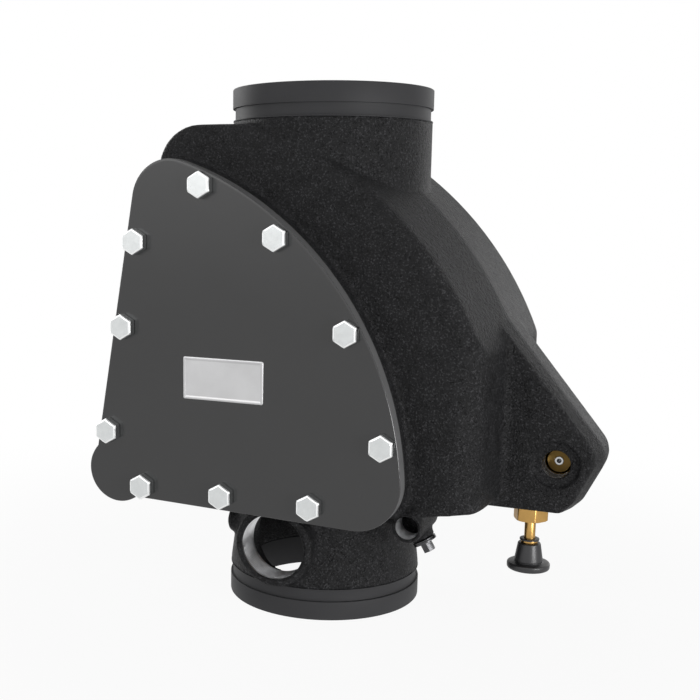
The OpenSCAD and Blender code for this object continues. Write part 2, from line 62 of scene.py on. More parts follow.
WHITE = (1.0, 1.0, 1.0, 1.0)
# Distances in metres under which vertices are welded, and slivers dissolved
GRID_WELD, GRID_SLIVER = 1e-6, 1e-7
PACKED_WELD, PACKED_SLIVER = 2e-6, 1e-6
# Y of the normal of a face that looks to the front, and the most that a side face's may stray
FACE_ON, EDGE_ON = -0.97, 0.3
# Scale of a grain's noise along X, Y and Z. A smaller one draws the grain out longer
BRUSH_STRETCH = (0.03, 1.0, 1.0)
LATHE_STRETCH = (0.15, 0.15, 1.0)
# Steps in each turn of a coil, and how much of a turn lies flat at each end
COIL_STEPS, COIL_FLAT = 30, 0.9
# Passes of smoothing between two measures of the normals
NORMAL_EVERY = 4
# Faces that differ by fewer degrees than this become one face
SAME_PLANE = 0.5

Colour = tuple[float, float, float]
Number = Union[int, float]


class Grain(Enum):
    """Kinds of surface relief that a finish can carry."""

    SMOOTH = "smooth"
    SAND = "sand"
    PEEL = "peel"
    BRUSHED = "brushed"
    TURNED = "turned"


class Axis(Enum):
    """Directions that round parts are turned about, as (axis, first side, second side)."""

    Y = ((0.0, -1.0, 0.0), (1.0, 0.0, 0.0), (0.0, 0.0, 1.0))
    Z = ((0.0, 0.0, 1.0), (1.0, 0.0, 0.0), (0.0, 1.0, 0.0))

    @property
    def basis(self) -> np.ndarray:
        """Rows are the axis, the first side and the second side."""
        return np.array(self.value, float)


class Sock:
    """A shader value whose arithmetic adds Math nodes."""

    def __init__(self, tree: "Tree", socket: bpy.types.NodeSocket) -> None:
        """Wraps one output socket of a node.

        Args:
            tree: The node tree that new nodes go in.
            socket: The output that this value stands for.
        """
        self.tree = tree
        self.socket = socket

    def _math(self, operation: str, first: Any, second: Any) -> "Sock":
        """Adds one Math node.

        Args:
            operation: The node's operation.
            first: Its first value or link.
            second: Its second value or link.

        Returns:
            The node's result.
        """
        return self.tree.node("ShaderNodeMath", {"operation": operation}, {0: first, 1: second})

    def __add__(self, other: Any) -> "Sock":
        """Sum with a value or a link."""
        return self._math("ADD", self, other)

    def __sub__(self, other: Any) -> "Sock":
        """Difference from a value or a link."""
        return self._math("SUBTRACT", self, other)

    def __rsub__(self, other: Any) -> "Sock":
        """A value or a link, less this one."""
        return self._math("SUBTRACT", other, self)

    def __mul__(self, other: Any) -> "Sock":
        """Product with a value or a link."""
        return self._math("MULTIPLY", self, other)

    def rise(self, low: Number, high: Number) -> "Sock":
        """Smooth step from 0 at low to 1 at high."""
        settings = {"interpolation_type": "SMOOTHSTEP"}
        return self.tree.node("ShaderNodeMapRange", settings, {0: self, 1: low, 2: high})


class Tree:
    """The node tree of one material."""

    def __init__(self, name: str, tree: Optional[bpy.types.NodeTree] = None) -> None:
        """Starts an empty material, or empties a tree that exists.

        Args:
            name: The material's name.
            tree: The node tree to use instead of a new material's.
        """
        self.material = None if tree else bpy.data.materials.new(name)
        if self.material:
            self.material.use_nodes = True
        self.tree = tree or self.material.node_tree
        self.tree.nodes.clear()

    def node(
        self,
        kind: str,
        settings: Optional[dict[str, Any]] = None,
        inputs: Optional[dict[Union[int, str], Any]] = None,
        output: Union[int, str] = 0,
    ) -> Sock:
        """Adds a node, then sets it and links it.

        Args:
            kind: The node's type.
            settings: Its own properties, set first.
            inputs: The values or links of its sockets, by name or number.
            output: Which output to return.

        Returns:
            The chosen output.
        """
        made = self.tree.nodes.new(kind)
        for key, value in (settings or {}).items():
            setattr(made, key, value)
        for key, value in (inputs or {}).items():
            self.join(value, made.inputs[key])
        return Sock(self, made.outputs[output])

    def join(self, value: Any, socket: bpy.types.NodeSocket) -> None:
        """Links a value that is a Sock, or sets a plain one.

        Args:
            value: A Sock, a number or a tuple.
            socket: The input that takes it.
        """
        if isinstance(value, Sock):
            self.tree.links.new(value.socket, socket)
        else:
            socket.default_value = value

    def surface(self, shader: Sock) -> None:
        """Makes a shader the material's surface."""
        output = self.tree.nodes.new("ShaderNodeOutputMaterial")
        self.join(shader, output.inputs["Surface"])

    def place(self, scale: Sequence[float] = (1.0, 1.0, 1.0)) -> Sock:
        """Object coordinates, stretched by a scale."""
        where = self.node("ShaderNodeTexCoord", output="Object")
        return self.node("ShaderNodeMapping", inputs={"Vector": where, "Scale": tuple(scale)})

    def noise(self, where: Sock, size: float, detail: float = 2.0, rough: float = 0.5) -> Sock:
        """Noise whose features measure about size metres."""
        values = {"Vector": where, "Scale": 1.0 / size, "Detail": detail, "Roughness": rough}
        return self.node("ShaderNodeTexNoise", inputs=values)

    def blend(self, factor: Any, first: Colour, second: Colour) -> Sock:
        """A mix of two colours.

        Args:
            factor: Share of the second colour.
            first: The first colour.
            second: The second colour.

        Returns:
            The mixed colour.
        """
        mixer = self.tree.nodes.new("ShaderNodeMix")
        mixer.data_type = "RGBA"
        slots = [s for s in mixer.inputs if s.type == "RGBA"]
        self.join(factor, mixer.inputs[0])
        self.join((*first, 1.0), slots[0])
        self.join((*second, 1.0), slots[1])
        return Sock(self, next(s for s in mixer.outputs if s.type == "RGBA"))


def shade(colour: Colour, factor: float) -> Colour:
    """A colour made lighter or darker by a factor."""
    return tuple(min(1.0, channel * factor) for channel in colour)


@dataclass(frozen=True)
class Finish:
    """One surface finish, and the numbers that its shader is built from.

    Lengths are in metres. Mottle is how far the colour strays, and smudge how far the roughness
    does. Painted glint is how much lighter the fine flecks are: lighter grit in part, and in part
    glints of light on the grain painted into the colour. Relief is the depth of the grain, whose
    features measure grain_size.
    """

    name: str
    slot: str
    colour: Colour
    roughness: float
    metallic: float = 0.0
    specular: float = 0.5
    mottle: float = 0.15
    mottle_size: float = 0.03
    smudge: float = 0.08
    painted_glint: float = 0.0
    grain: Grain = Grain.SMOOTH
    grain_size: float = 0.002
    relief: float = 0.0

    def height(self, tree: Tree) -> Sock:
        """Builds the relief as a height from 0 to 1.

        Args:
            tree: The material's tree.

        Returns:
            The height over the surface.
        """
        where = tree.place()
        if self.grain is Grain.SAND:
            lumps = tree.noise(where, self.grain_size * 2.2, 2.0, 0.55)
            grit = tree.noise(where, self.grain_size * 0.8, 3.0, 0.6)
            pits = tree.noise(where, self.grain_size * 1.3, 1.0, 0.5).rise(0.60, 0.72)
            return lumps * 0.45 + grit * 0.55 - pits * 0.5
        if self.grain is Grain.BRUSHED:
            return tree.noise(tree.place(BRUSH_STRETCH), self.grain_size, 3.0, 0.6)
        if self.grain is Grain.TURNED:
            return tree.noise(tree.place(LATHE_STRETCH), self.grain_size, 2.0, 0.5)
        return tree.noise(where, self.grain_size, 2.0, 0.5)

    def build(self) -> bpy.types.Material:
        """Builds the finish's material.

        Returns:
            The material, whose colour, roughness and normal vary over the surface.
        """
        tree = Tree(self.name)
        where = tree.place()
        patches = tree.noise(where, self.mottle_size, 4.0, 0.6)
        tint = tree.blend(
            patches.rise(0.25, 0.75),
            shade(self.colour, 1.0 - self.mottle),
            shade(self.colour, 1.0 + self.mottle),
        )
        # Fine flecks made lighter in the colour: grit in part, and in part painted glints on the
        # grain
        if self.painted_glint > 0.0:
            painted_glints = tree.noise(where, 0.9 * self.grain_size, 2.0, 0.6).rise(0.50, 0.72)
            scaled = {0: tint, "Scale": painted_glints * self.painted_glint + 1.0}
            tint = tree.node("ShaderNodeVectorMath", {"operation": "SCALE"}, scaled)
        rough = patches * (2.0 * self.smudge) + (self.roughness - self.smudge)
        values = {
            "Base Color": tint,
            "Roughness": rough,
            "Metallic": self.metallic,
            "Specular IOR Level": self.specular,
        }
        if self.relief > 0.0:
            bump = {"Height": self.height(tree), "Strength": 1.0, "Distance": self.relief}
            values["Normal"] = tree.node("ShaderNodeBump", inputs=bump)
        tree.surface(tree.node("ShaderNodeBsdfPrincipled", inputs=values))
        return tree.material


@dataclass(frozen=True)
class Finishes:
    """Every finish of the valve."""

    # The casting's bright flecks are partly painted glints of light on its grain
    casting: Finish = Finish(
        "cast_black_paint", "black_casting", (0.0120, 0.0120, 0.0127), 0.46, specular=0.11,
        mottle=0.25, mottle_size=0.010, painted_glint=2.8, grain=Grain.SAND, grain_size=1.7 * MM,
        relief=1.7 * MM,
    )
    machined: Finish = Finish(
        "machined_black_paint", "black_casting", (0.036, 0.036, 0.038), 0.55, specular=0.18,
        mottle=0.06, grain=Grain.TURNED, grain_size=0.9 * MM, relief=0.03 * MM,
    )
    bore: Finish = Finish(
        "bare_machined_bore", "black_casting", (0.85, 0.85, 0.86), 0.36, metallic=1.0,
        mottle=0.10, mottle_size=0.008, grain=Grain.PEEL, grain_size=0.9 * MM, relief=0.02 * MM,
    )
    # A darker copy of the bare bore for the deep latch lug port: painted shade inside the recess
    lug_bore_painted_shade: Finish = Finish(
        "lug_bore_in_painted_shade", "black_casting", (0.48, 0.48, 0.485), 0.22, metallic=1.0, mottle=0.15,
        mottle_size=0.006, grain=Grain.PEEL, grain_size=0.9 * MM, relief=0.02 * MM,
    )
    cover: Finish = Finish(
        "gloss_grey_paint", "cover_paint", (0.014, 0.014, 0.0145), 0.20, specular=0.76,
        mottle=0.05, mottle_size=0.05, smudge=0.02, grain=Grain.PEEL, grain_size=6.0 * MM,
        relief=0.008 * MM,
    )
    # A lighter copy of the cover's paint for its edge faces: a painted sheen where light falls on
    # the sides
    cover_side_painted_sheen: Finish = Finish(
        "cover_side_with_painted_sheen", "cover_paint", (0.13, 0.13, 0.132), 0.42, specular=0.60,
        mottle=0.06, mottle_size=0.02, smudge=0.04, grain=Grain.PEEL, grain_size=1.2 * MM,
        relief=0.02 * MM,
    )
    zinc: Finish = Finish(
        "bright_zinc", "zinc", (0.71, 0.73, 0.73), 0.22, metallic=1.0, mottle=0.04,
        mottle_size=0.006, smudge=0.06, grain=Grain.PEEL, grain_size=0.8 * MM, relief=0.02 * MM,
    )
    # A lighter copy of the zinc for the bolt heads' chamfers: a painted highlight on each rim
    zinc_painted_highlight_rim: Finish = Finish(
        "zinc_rim_painted_highlight", "zinc", (0.96, 0.97, 0.97), 0.30, metallic=1.0, mottle=0.02,
        mottle_size=0.006, smudge=0.03,
    )
    plate: Finish = Finish(
        "brushed_plate", "plate_silver", (0.56, 0.56, 0.565), 0.40, metallic=1.0, mottle=0.05,
        grain=Grain.BRUSHED, grain_size=0.35 * MM, relief=0.02 * MM,
    )
    steel: Finish = Finish(
        "turned_steel", "steel", (0.55, 0.56, 0.57), 0.28, metallic=1.0, mottle=0.06,
        grain=Grain.TURNED, grain_size=0.4 * MM, relief=0.02 * MM,
    )
    wire: Finish = Finish(
        "drawn_spring_wire", "spring_steel", (0.36, 0.36, 0.37), 0.34, metallic=1.0, mottle=0.10,
        mottle_size=0.004, grain=Grain.PEEL, grain_size=0.5 * MM, relief=0.02 * MM,
    )
    brass: Finish = Finish(
        "turned_brass", "brass", (0.50, 0.30, 0.098), 0.30, metallic=1.0, mottle=0.08,
        mottle_size=0.008, grain=Grain.TURNED, grain_size=0.5 * MM, relief=0.02 * MM,
    )
    # A dark copy of the brass for the latch hub and lever deep in the lug: painted shade
    brass_painted_shade: Finish = Finish(
        "brass_painted_shade", "brass", (0.105, 0.066, 0.020), 0.34, metallic=1.0, mottle=0.12,
        mottle_size=0.006, grain=Grain.TURNED, grain_size=0.5 * MM, relief=0.02 * MM,
    )
    bronze: Finish = Finish(
        "cast_bronze", "bronze", (0.42, 0.26, 0.10), 0.46, metallic=1.0, mottle=0.16,
        mottle_size=0.018, grain=Grain.SAND, grain_size=1.1 * MM, relief=0.18 * MM,
    )
    rubber: Finish = Finish(
        "matt_rubber", "rubber", (0.018, 0.018, 0.018), 0.68, specular=0.35, mottle=0.12,
        mottle_size=0.01, grain=Grain.PEEL, grain_size=0.5 * MM, relief=0.04 * MM,
    )
    plastic: Finish = Finish(
        "moulded_black_plastic", "black_plastic", (0.025, 0.025, 0.027), 0.36, specular=0.5,
        mottle=0.05, grain=Grain.PEEL, grain_size=0.5 * MM, relief=0.03 * MM,
    )
    dark_steel: Finish = Finish(
        "blackened_steel", "dark_steel", (0.075, 0.075, 0.078), 0.26, metallic=1.0, mottle=0.12,
        mottle_size=0.005, grain=Grain.PEEL, grain_size=0.6 * MM, relief=0.03 * MM,
    )


FINISH = Finishes()
_MATERIALS: dict[str, bpy.types.Material] = {}


def material(finish: Finish) -> bpy.types.Material:
    """The material of a finish, built the first time it is asked for.

    Args:
        finish: The finish.

    Returns:
        Its material.
    """
    if finish.name not in _MATERIALS:
        _MATERIALS[finish.name] = finish.build()
    return _MATERIALS[finish.name]


def mm(*values: Any) -> np.ndarray:
    """Millimetres as an array in metres."""
    return np.asarray(values if len(values) > 1 else values[0], float) * MM


def unit(degrees: float) -> np.ndarray:
    """A unit vector at an angle."""
    return np.array([math.cos(math.radians(degrees)), math.sin(math.radians(degrees))])


def full_turn(segments: int) -> np.ndarray:
    """The angles of a whole turn in even steps."""
    return np.linspace(0.0, TURN, segments, endpoint=False)


def spokes(angle: np.ndarray, side: np.ndarray, other: np.ndarray) -> np.ndarray:
    """Unit vectors cos a * side + sin a * other side, one a row."""
    return np.cos(angle)[:, None] * side + np.sin(angle)[:, None] * other


def arc(centre: Sequence[float], radius: float, start: float, end: float,
        steps: int) -> np.ndarray:
    """Points on a circle: centre + radius * (cos a, sin a), with a running evenly.

    Args:
        centre: The circle's centre.
        radius: Its radius.
        start: First angle, in degrees.
        end: Last angle, in degrees.
        steps: Number of gaps between the points.

    Returns:
        An array of steps + 1 points.
    """
    angle = np.radians(np.linspace(start, end, steps + 1))
    return np.asarray(centre, float) + radius * np.stack([np.cos(angle), np.sin(angle)], -1)


def rounded(points: Sequence[Sequence[float]], radius: Any, steps: int = 4,
            closed: bool = True) -> np.ndarray:
    """A polyline whose corners become parabolas, (1-t)^2 A + 2t(1-t) P + t^2 B.

    A and B lie on the two sides of corner P, radius away or less where a side is short.

    Args:
        points: The corners in order.
        radius: How far each round reaches, one for all or one a corner.
        steps: Gaps in each round.
        closed: Whether the last corner joins the first.

    Returns:
        The rounded polyline.
    """
    corner = np.asarray(points, float)
    before = np.roll(corner, 1, 0) - corner
    after = np.roll(corner, -1, 0) - corner
    long_b = np.linalg.norm(before, axis=1)
    long_a = np.linalg.norm(after, axis=1)
    reach = np.minimum(np.broadcast_to(radius, len(corner)), 0.48 * np.minimum(long_a, long_b))
    if not closed:
        reach = reach.copy()
        reach[[0, -1]] = 0.0
    first = corner + before * (reach / long_b)[:, None]
    last = corner + after * (reach / long_a)[:, None]
    t = np.linspace(0.0, 1.0, steps + 1)[None, :, None]
    first, corner, last = first[:, None], corner[:, None], last[:, None]
    curve = (1 - t) ** 2 * first + 2 * t * (1 - t) * corner + t**2 * last
    return curve.reshape(-1, curve.shape[-1])


def linked(made: bpy.types.Object) -> bpy.types.Object:
    """Puts a new object in the scene."""
    bpy.context.scene.collection.objects.link(made)
    return made


def merged(mesh: bpy.types.Mesh, weld: float, sliver: float) -> bmesh.types.BMesh:
    """A working copy of a mesh, with its loose vertices welded and its slivers dissolved.

    Args:
        mesh: The mesh.
        weld: Distance under which vertices become one.
        sliver: Size under which edges and faces dissolve.

    Returns:
        The working mesh, which its user frees.
    """
    work = bmesh.new()
    work.from_mesh(mesh)
    bmesh.ops.remove_doubles(work, verts=work.verts, dist=weld)
    bmesh.ops.dissolve_degenerate(work, edges=work.edges, dist=sliver)
    return work


def solid(name: str, work: bmesh.types.BMesh) -> bpy.types.Object:
    """A new object from a working mesh, with its faces turned outwards.

    Args:
        name: The object's name.
        work: The working mesh, which is freed.

    Returns:
        The object.
    """
    bmesh.ops.recalc_face_normals(work, faces=work.faces)
    mesh = bpy.data.meshes.new(name)
    work.to_mesh(mesh)
    work.free()
    return linked(bpy.data.objects.new(name, mesh))


def read(items: Any, name: str, width: int, kind: type = np.float32) -> np.ndarray:
    """One property of every item of a mesh.

    Args:
        items: The mesh's vertices, edges or faces.
        name: The property.
        width: How many numbers an item has.
        kind: The numbers' type.

    Returns:
        One row an item.
    """
    values = np.empty(len(items) * width, kind)
    items.foreach_get(name, values)
    return values.reshape(-1, width)


def grid_faces(rows: int, columns: int, wrap_rows: bool, wrap_columns: bool) -> np.ndarray:
    """Quads of a grid of rows by columns vertices, in row order.

    Args:
        rows: Vertices down.
        columns: Vertices across.
        wrap_rows: Whether the last row joins the first.
        wrap_columns: Whether the last column joins the first.

    Returns:
        An array of vertex numbers, four a face.
    """
    row = np.arange(rows if wrap_rows else rows - 1)[:, None]
    column = np.arange(columns if wrap_columns else columns - 1)[None, :]
    row_b, column_b = (row + 1) % rows, (column + 1) % columns
    quads = [row * columns + column, row * columns + column_b,
             row_b * columns + column_b, row_b * columns + column]
    return np.stack(np.broadcast_arrays(*quads), -1).reshape(-1, 4)


class Shape:
    """Grids gathered into one closed mesh."""

    def __init__(self) -> None:
        """Starts with nothing."""
        self.points: list[np.ndarray] = []
        self.faces: list[list[int]] = []
        self.total = 0

    def add(self, grid: np.ndarray, wrap_rows: bool = False, wrap_columns: bool = True,
            caps: bool = False) -> "Shape":
        """Adds a grid of points.

        Args:
            grid: Points, as rows by columns by 3.
            wrap_rows: Whether the last row joins the first.
            wrap_columns: Whether the last column joins the first.
            caps: Whether the first and last rows are filled with one flat face each.

        Returns:
            This shape.
        """
        rows, columns = grid.shape[:2]
        quads = grid_faces(rows, columns, wrap_rows, wrap_columns) + self.total
        self.faces.extend(quads.tolist())
        if caps:
            last_row = self.total + (rows - 1) * columns
            self.faces.append(list(range(self.total + columns - 1, self.total - 1, -1)))
            self.faces.append(list(range(last_row, last_row + columns)))
        self.points.append(grid.reshape(-1, 3))
        self.total += rows * columns
        return self

    def add_shape(self, other: "Shape") -> "Shape":
        """Adds another shape's grids.

        Args:
            other: The other shape.

        Returns:
            This shape.
        """
        self.faces.extend([[corner + self.total for corner in face] for face in other.faces])
        self.points.extend(other.points)
        self.total += other.total
        return self

    def piece(self, name: str, finish: Finish, body: str, stands_for: Iterable[str] = (),
              sharp: float = 32.0) -> bpy.types.Object:
        """Makes the gathered grids into a finished piece.

        Args:
            name: The piece's name.
            finish: Its finish.
            body: The body that it rides on.
            stands_for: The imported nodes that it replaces.
            sharp: Edges that turn by more than this many degrees stay sharp.

        Returns:
            The piece.
        """
        raw = bpy.data.meshes.new("raw_grid")
        raw.from_pydata(np.concatenate(self.points), [], self.faces)
        work = merged(raw, GRID_WELD, GRID_SLIVER)
        bpy.data.meshes.remove(raw)
        return dress(solid(name, work), finish, body, stands_for, sharp)


def dress(made: bpy.types.Object, finish: Finish, body: str, stands_for: Iterable[str],
          sharp: float) -> bpy.types.Object:
    """Shades a piece, gives it its finish and sets it on its body.

    Args:
        made: The piece's object.
        finish: Its finish.
        body: The body that it rides on.
        stands_for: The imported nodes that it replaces.
        sharp: Edges that turn by more than this many degrees stay sharp.

    Returns:
        The piece.
    """
    made.data.shade_smooth()
    made.data.set_sharp_from_angle(angle=math.radians(sharp))
    made.data.materials.clear()
    made.data.materials.append(material(finish))
    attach(made, body)
    nodes = list(stands_for)
    if nodes:
        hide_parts(*nodes)
    LOG.info("%s: %d faces, %s", made.name, len(made.data.polygons), finish.name)
    return made


def second_finish(made: bpy.types.Object, finish: Finish,
                  chosen: Callable[[np.ndarray, np.ndarray], np.ndarray]) -> None:
    """Gives some faces of a piece another finish.

    Args:
        made: The piece.
        finish: The other finish.
        chosen: Says which faces take it, from their centres and normals.
    """
    faces = made.data.polygons
    index = chosen(read(faces, "center", 3), read(faces, "normal", 3)).astype(np.int32)
    made.data.materials.append(material(finish))
    faces.foreach_set("material_index", index)


def turned(profile: np.ndarray, axis: Axis, origin: Sequence[float], segments: int = 96,
           closed: bool = True) -> Shape:
    """A profile of (radius, height) points turned about an axis.

    Each point is origin + height * axis + radius * (cos a * side + sin a * other side).

    Args:
        profile: The points. They close on themselves for a ring, or else start and end on the axis.
        axis: The axis to turn about.
        origin: A point on the axis.
        segments: Steps round.
        closed: Whether the profile is a closed ring.

    Returns:
        The turned shape.
    """
    forward, side, other = axis.basis
    spoke = spokes(full_turn(segments), side, other)
    grid = profile[:, 0, None, None] * spoke + profile[:, 1, None, None] * forward
    return Shape().add(grid + np.asarray(origin, float), wrap_rows=closed)


def lathe(points: Sequence[Sequence[float]], reach: Any, steps: int, axis: Axis,
          origin: Sequence[float], segments: int, closed: bool = False) -> Shape:
    """A turned part from its corners, in millimetres.

    Args:
        points: Corners of the profile, as (radius, height).
        reach: How far each corner's round reaches.
        steps: Gaps in each round.
        axis: The axis to turn about.
        origin: A point on the axis.
        segments: Steps round.
        closed: Whether the profile is a closed ring.

    Returns:
        The turned shape.
    """
    profile = rounded(points, reach, steps, closed) * MM
    return turned(profile, axis, mm(*origin), segments, closed)


def hexagon(angle: np.ndarray, flats: float, blunt: float = 0.985) -> np.ndarray:
    """Distance from the centre to a hexagon's side, with its corners cut a little blunt."""
    folded = np.mod(angle, TURN / 6) - TURN / 12
    return np.minimum(0.5 * flats / np.cos(folded), blunt * flats / math.sqrt(3))


@dataclass
class HexHead:
    """A hexagon with a turned chamfer on its ends, and a round bore or none."""

    flats: float
    height: float
    chamfer: float = 0.93
    bore: float = 0.0
    both_ends: bool = False
    washer: float = 0.0
    corner: float = 0.0
    edge: float = 0.45 * MM

    def shape(self, basis: np.ndarray, origin: Sequence[float], segments: int = 144) -> Shape:
        """Builds the head, whose chamfer falls 30 degrees outside a circle on its flats.

        Args:
            basis: Rows are the axis out of the head, the first side and the second side.
            origin: The middle of the head's seat.
            segments: Steps round, a multiple of 6.

        Returns:
            The closed head.
        """
        angle = full_turn(segments)
        rim = hexagon(angle + self.corner, self.flats)
        ring = 0.5 * self.flats * self.chamfer
        drop = np.maximum(rim - ring, 0.0) * math.tan(math.radians(30.0))
        foot = drop if self.both_ends else np.zeros_like(drop)
        flat = np.minimum(ring, rim - self.edge)
        inner = np.full_like(rim, self.bore)
        top = np.full_like(rim, self.height)
        base = np.full_like(rim, self.washer)
        brow = 0.3 * self.edge
        rows = [(inner, top), (flat - self.edge, top), (flat, top), (rim - brow, top - drop - brow),
                (rim, top - drop - self.edge), (rim, base + foot), (flat, base)]
        if self.washer > 0.0:
            seat = np.full_like(rim, 0.48 * self.flats)
            rows += [(seat, base), (seat, 0.0 * base), (inner, 0.0 * base)]
        else:
            rows += [(inner, base)]
        forward, side, other = basis
        spoke = spokes(angle, side, other)
        grid = np.stack([r[:, None] * spoke + h[:, None] * forward for r, h in rows])
        return Shape().add(grid + np.asarray(origin, float), wrap_rows=self.bore > 0.0)


def slab(outline: np.ndarray, section: np.ndarray, front: float) -> Shape:
    """A flat plate facing -Y, with its edge shaped by a section.

    Each row is the outline moved inwards by the section's first number, at front + its second.

    Args:
        outline: Points of the outline in X and Z, turning clockwise as seen from -Y.
        section: Rows of (inset, depth) from the front face to the back face.
        front: Y of the front face.

    Returns:
        The closed plate.
    """
    along = np.roll(outline, -1, 0) - np.roll(outline, 1, 0)
    along /= np.linalg.norm(along, axis=1)[:, None]
    inward = np.stack([along[:, 1], -along[:, 0]], -1)
    flat = outline[None] + section[:, 0, None, None] * inward[None]
    depth = np.broadcast_to(front + section[:, 1, None], flat.shape[:2])
    return Shape().add(np.stack([flat[..., 0], depth, flat[..., 1]], -1), caps=True)


def coil(radius: float, wire: float, turns: float, low: float, high: float, axis: Axis,
         origin: Sequence[float]) -> Shape:
    """A helical spring: a round wire along radius * (cos a, sin a) that climbs evenly.

    Its end turns lie flat, because the climb follows a smooth step.

    Args:
        radius: Radius of the wire's centre line.
        wire: The wire's radius.
        turns: Number of turns.
        low: Where its lower end rests along the axis.
        high: Where its upper end rests.
        axis: Its axis.
        origin: A point on the axis.

    Returns:
        The closed wire.
    """
    forward, side, other = axis.basis
    part = np.linspace(0.0, 1.0, int(turns * COIL_STEPS))
    angle = part * turns * TURN
    flat = COIL_FLAT / turns
    climb = np.clip((part - flat) / (1.0 - 2.0 * flat), 0.0, 1.0)
    height = low + wire + (high - low - 2.0 * wire) * climb
    path = radius * spokes(angle, side, other) + height[:, None] * forward
    return rope(path + np.asarray(origin, float), wire)


def rope(path: np.ndarray, radius: float, sides: int = 12) -> Shape:
    """A round bar along a path, closed to a point at both ends.

    Args:
        path: The points of its centre line.
        radius: Its radius.
        sides: Steps round it.

    Returns:
        The closed bar.
    """
    along = np.gradient(path, axis=0)
    along /= np.linalg.norm(along, axis=1)[:, None]
    upright = np.array([0.31, 0.17, 0.93])
    side = np.cross(along, upright)
    side /= np.linalg.norm(side, axis=1)[:, None]
    other = np.cross(along, side)
    angle = full_turn(sides)[:, None]
    ring = np.cos(angle) * side[:, None] + np.sin(angle) * other[:, None]
    tube = path[:, None] + radius * ring
    ends = [np.repeat(p[None, None], sides, 1) for p in (path[0], path[-1])]
    return Shape().add(np.concatenate([ends[0], tube, ends[1]]))


def tidy_copy(node: str) -> bmesh.types.BMesh:
    """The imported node's mesh with its loose triangles merged."""
    return merged(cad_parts[node].data, PACKED_WELD, PACKED_SLIVER)


def evaluated(made: bpy.types.Object) -> bpy.types.Mesh:
    """The mesh of an object with its modifiers applied.

    Args:
        made: The object.

    Returns:
        A new mesh.
    """
    bpy.context.view_layer.update()
    graph = bpy.context.evaluated_depsgraph_get()
    return bpy.data.meshes.new_from_object(made.evaluated_get(graph))


def apply_modifier(made: bpy.types.Object, kind: str, **settings: Any) -> None:
    """Adds one modifier and keeps its result as the object's mesh.

    Args:
        made: The object.
        kind: The modifier's type.
        **settings: The modifier's properties.
    """
    modifier = made.modifiers.new(kind.lower(), kind)
    for key, value in settings.items():
        setattr(modifier, key, value)
    mesh = evaluated(made)
    made.modifiers.clear()
    made.data = mesh


def relax(mesh: bpy.types.Mesh, rounds: int, valley: float, ridge: float,
          freedom: Callable[[np.ndarray], np.ndarray],
          finish: Callable[[np.ndarray], np.ndarray]) -> None:
    """Rounds a mesh's edges like the fillets of a casting.

    Each vertex moves towards the mean of its neighbours. It moves by the valley share where that
    mean lies outside the surface, and by the ridge share where it lies inside.

    Args:
        mesh: A mesh of quads, as a voxel remesh leaves it.
        rounds: Number of passes.
        valley: Share of the way in a concave place.
        ridge: Share of the way in a convex place.
        freedom: Gives the share of its move that each vertex may make.
        finish: Sets the vertices' last places.
    """
    count = len(mesh.vertices)
    place = read(mesh.vertices, "co", 3).astype(float)
    one, two = read(mesh.edges, "vertices", 2, np.int32).T
    degree = np.bincount(np.concatenate([one, two]), minlength=count)[:, None]
    free = freedom(place)
    for step in range(rounds):
        if step % NORMAL_EVERY == 0:
            mesh.vertices.foreach_set("co", place.astype(np.float32).ravel())
            mesh.update()
            normal = read(mesh.vertex_normals, "vector", 3)
        total = np.stack([
            np.bincount(one, place[two, k], count) + np.bincount(two, place[one, k], count)
            for k in range(3)
        ], -1)
        pull = total / degree - place
        outside = (pull * normal).sum(1, keepdims=True) > 0.0
        place += free * pull * np.where(outside, valley, ridge)
    mesh.vertices.foreach_set("co", finish(place).astype(np.float32).ravel())
    mesh.update()


@dataclass(frozen=True)
class CastSkin:
    """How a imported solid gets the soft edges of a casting.

    Valley and ridge are the shares that relax() takes, and budget is the most triangles left.
    """

    voxel: float
    rounds: int
    valley: float
    ridge: float
    budget: int

    def wrap(self, made: bpy.types.Object, freedom: Callable[[np.ndarray], np.ndarray],
             finish: Callable[[np.ndarray], np.ndarray]) -> None:
        """Remeshes an object, rounds its edges and thins its mesh to the budget.

        Args:
            made: The object.
            freedom: Gives the share of its move that each vertex may make.
            finish: Sets the vertices' last places.
        """
        apply_modifier(made, "REMESH", mode="VOXEL", voxel_size=self.voxel * MM)
        relax(made.data, self.rounds, self.valley, self.ridge, freedom, finish)
        triangles = 2 * len(made.data.polygons)
        apply_modifier(made, "DECIMATE", ratio=min(1.0, self.budget / triangles))


def refined(node: str, finish: Finish, body: str, bevel: float = 0.35,
            sharp: float = 34.0) -> None:
    """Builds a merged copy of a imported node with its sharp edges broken.

    Args:
        node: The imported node, which the copy replaces.
        finish: Its finish.
        body: The body that it rides on.
        bevel: Width of the broken edges, in millimetres.
        sharp: Edges that turn by more than this many degrees are broken.
    """
    work = tidy_copy(node)
    bmesh.ops.dissolve_limit(
        work, angle_limit=math.radians(SAME_PLANE), use_dissolve_boundaries=False,
        verts=work.verts[:], edges=work.edges[:], delimit=set(),
    )
    made = solid(node + "_finished", work)
    apply_modifier(
        made, "BEVEL", width=bevel * MM, segments=2, limit_method="ANGLE",
        angle_limit=math.radians(sharp), harden_normals=False,
    )
    dress(made, finish, body, [node], sharp)


def refine_all(body: str, *rows: tuple[str, Finish, float]) -> None:
    """Refines several nodes of one body, each given as (node, finish, bevel)."""
    for node, finish, bevel in rows:
        refined(node, finish, body, bevel)


def carried(node: str, finish: Finish) -> None:
    """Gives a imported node, which stays as it is, its finish.

    Args:
        node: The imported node.
        finish: Its finish.
    """
    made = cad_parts[node]
    made.data.materials.clear()
    made.data.materials.append(material(finish))
    LOG.info("%s: carried, %s", node, finish.name)


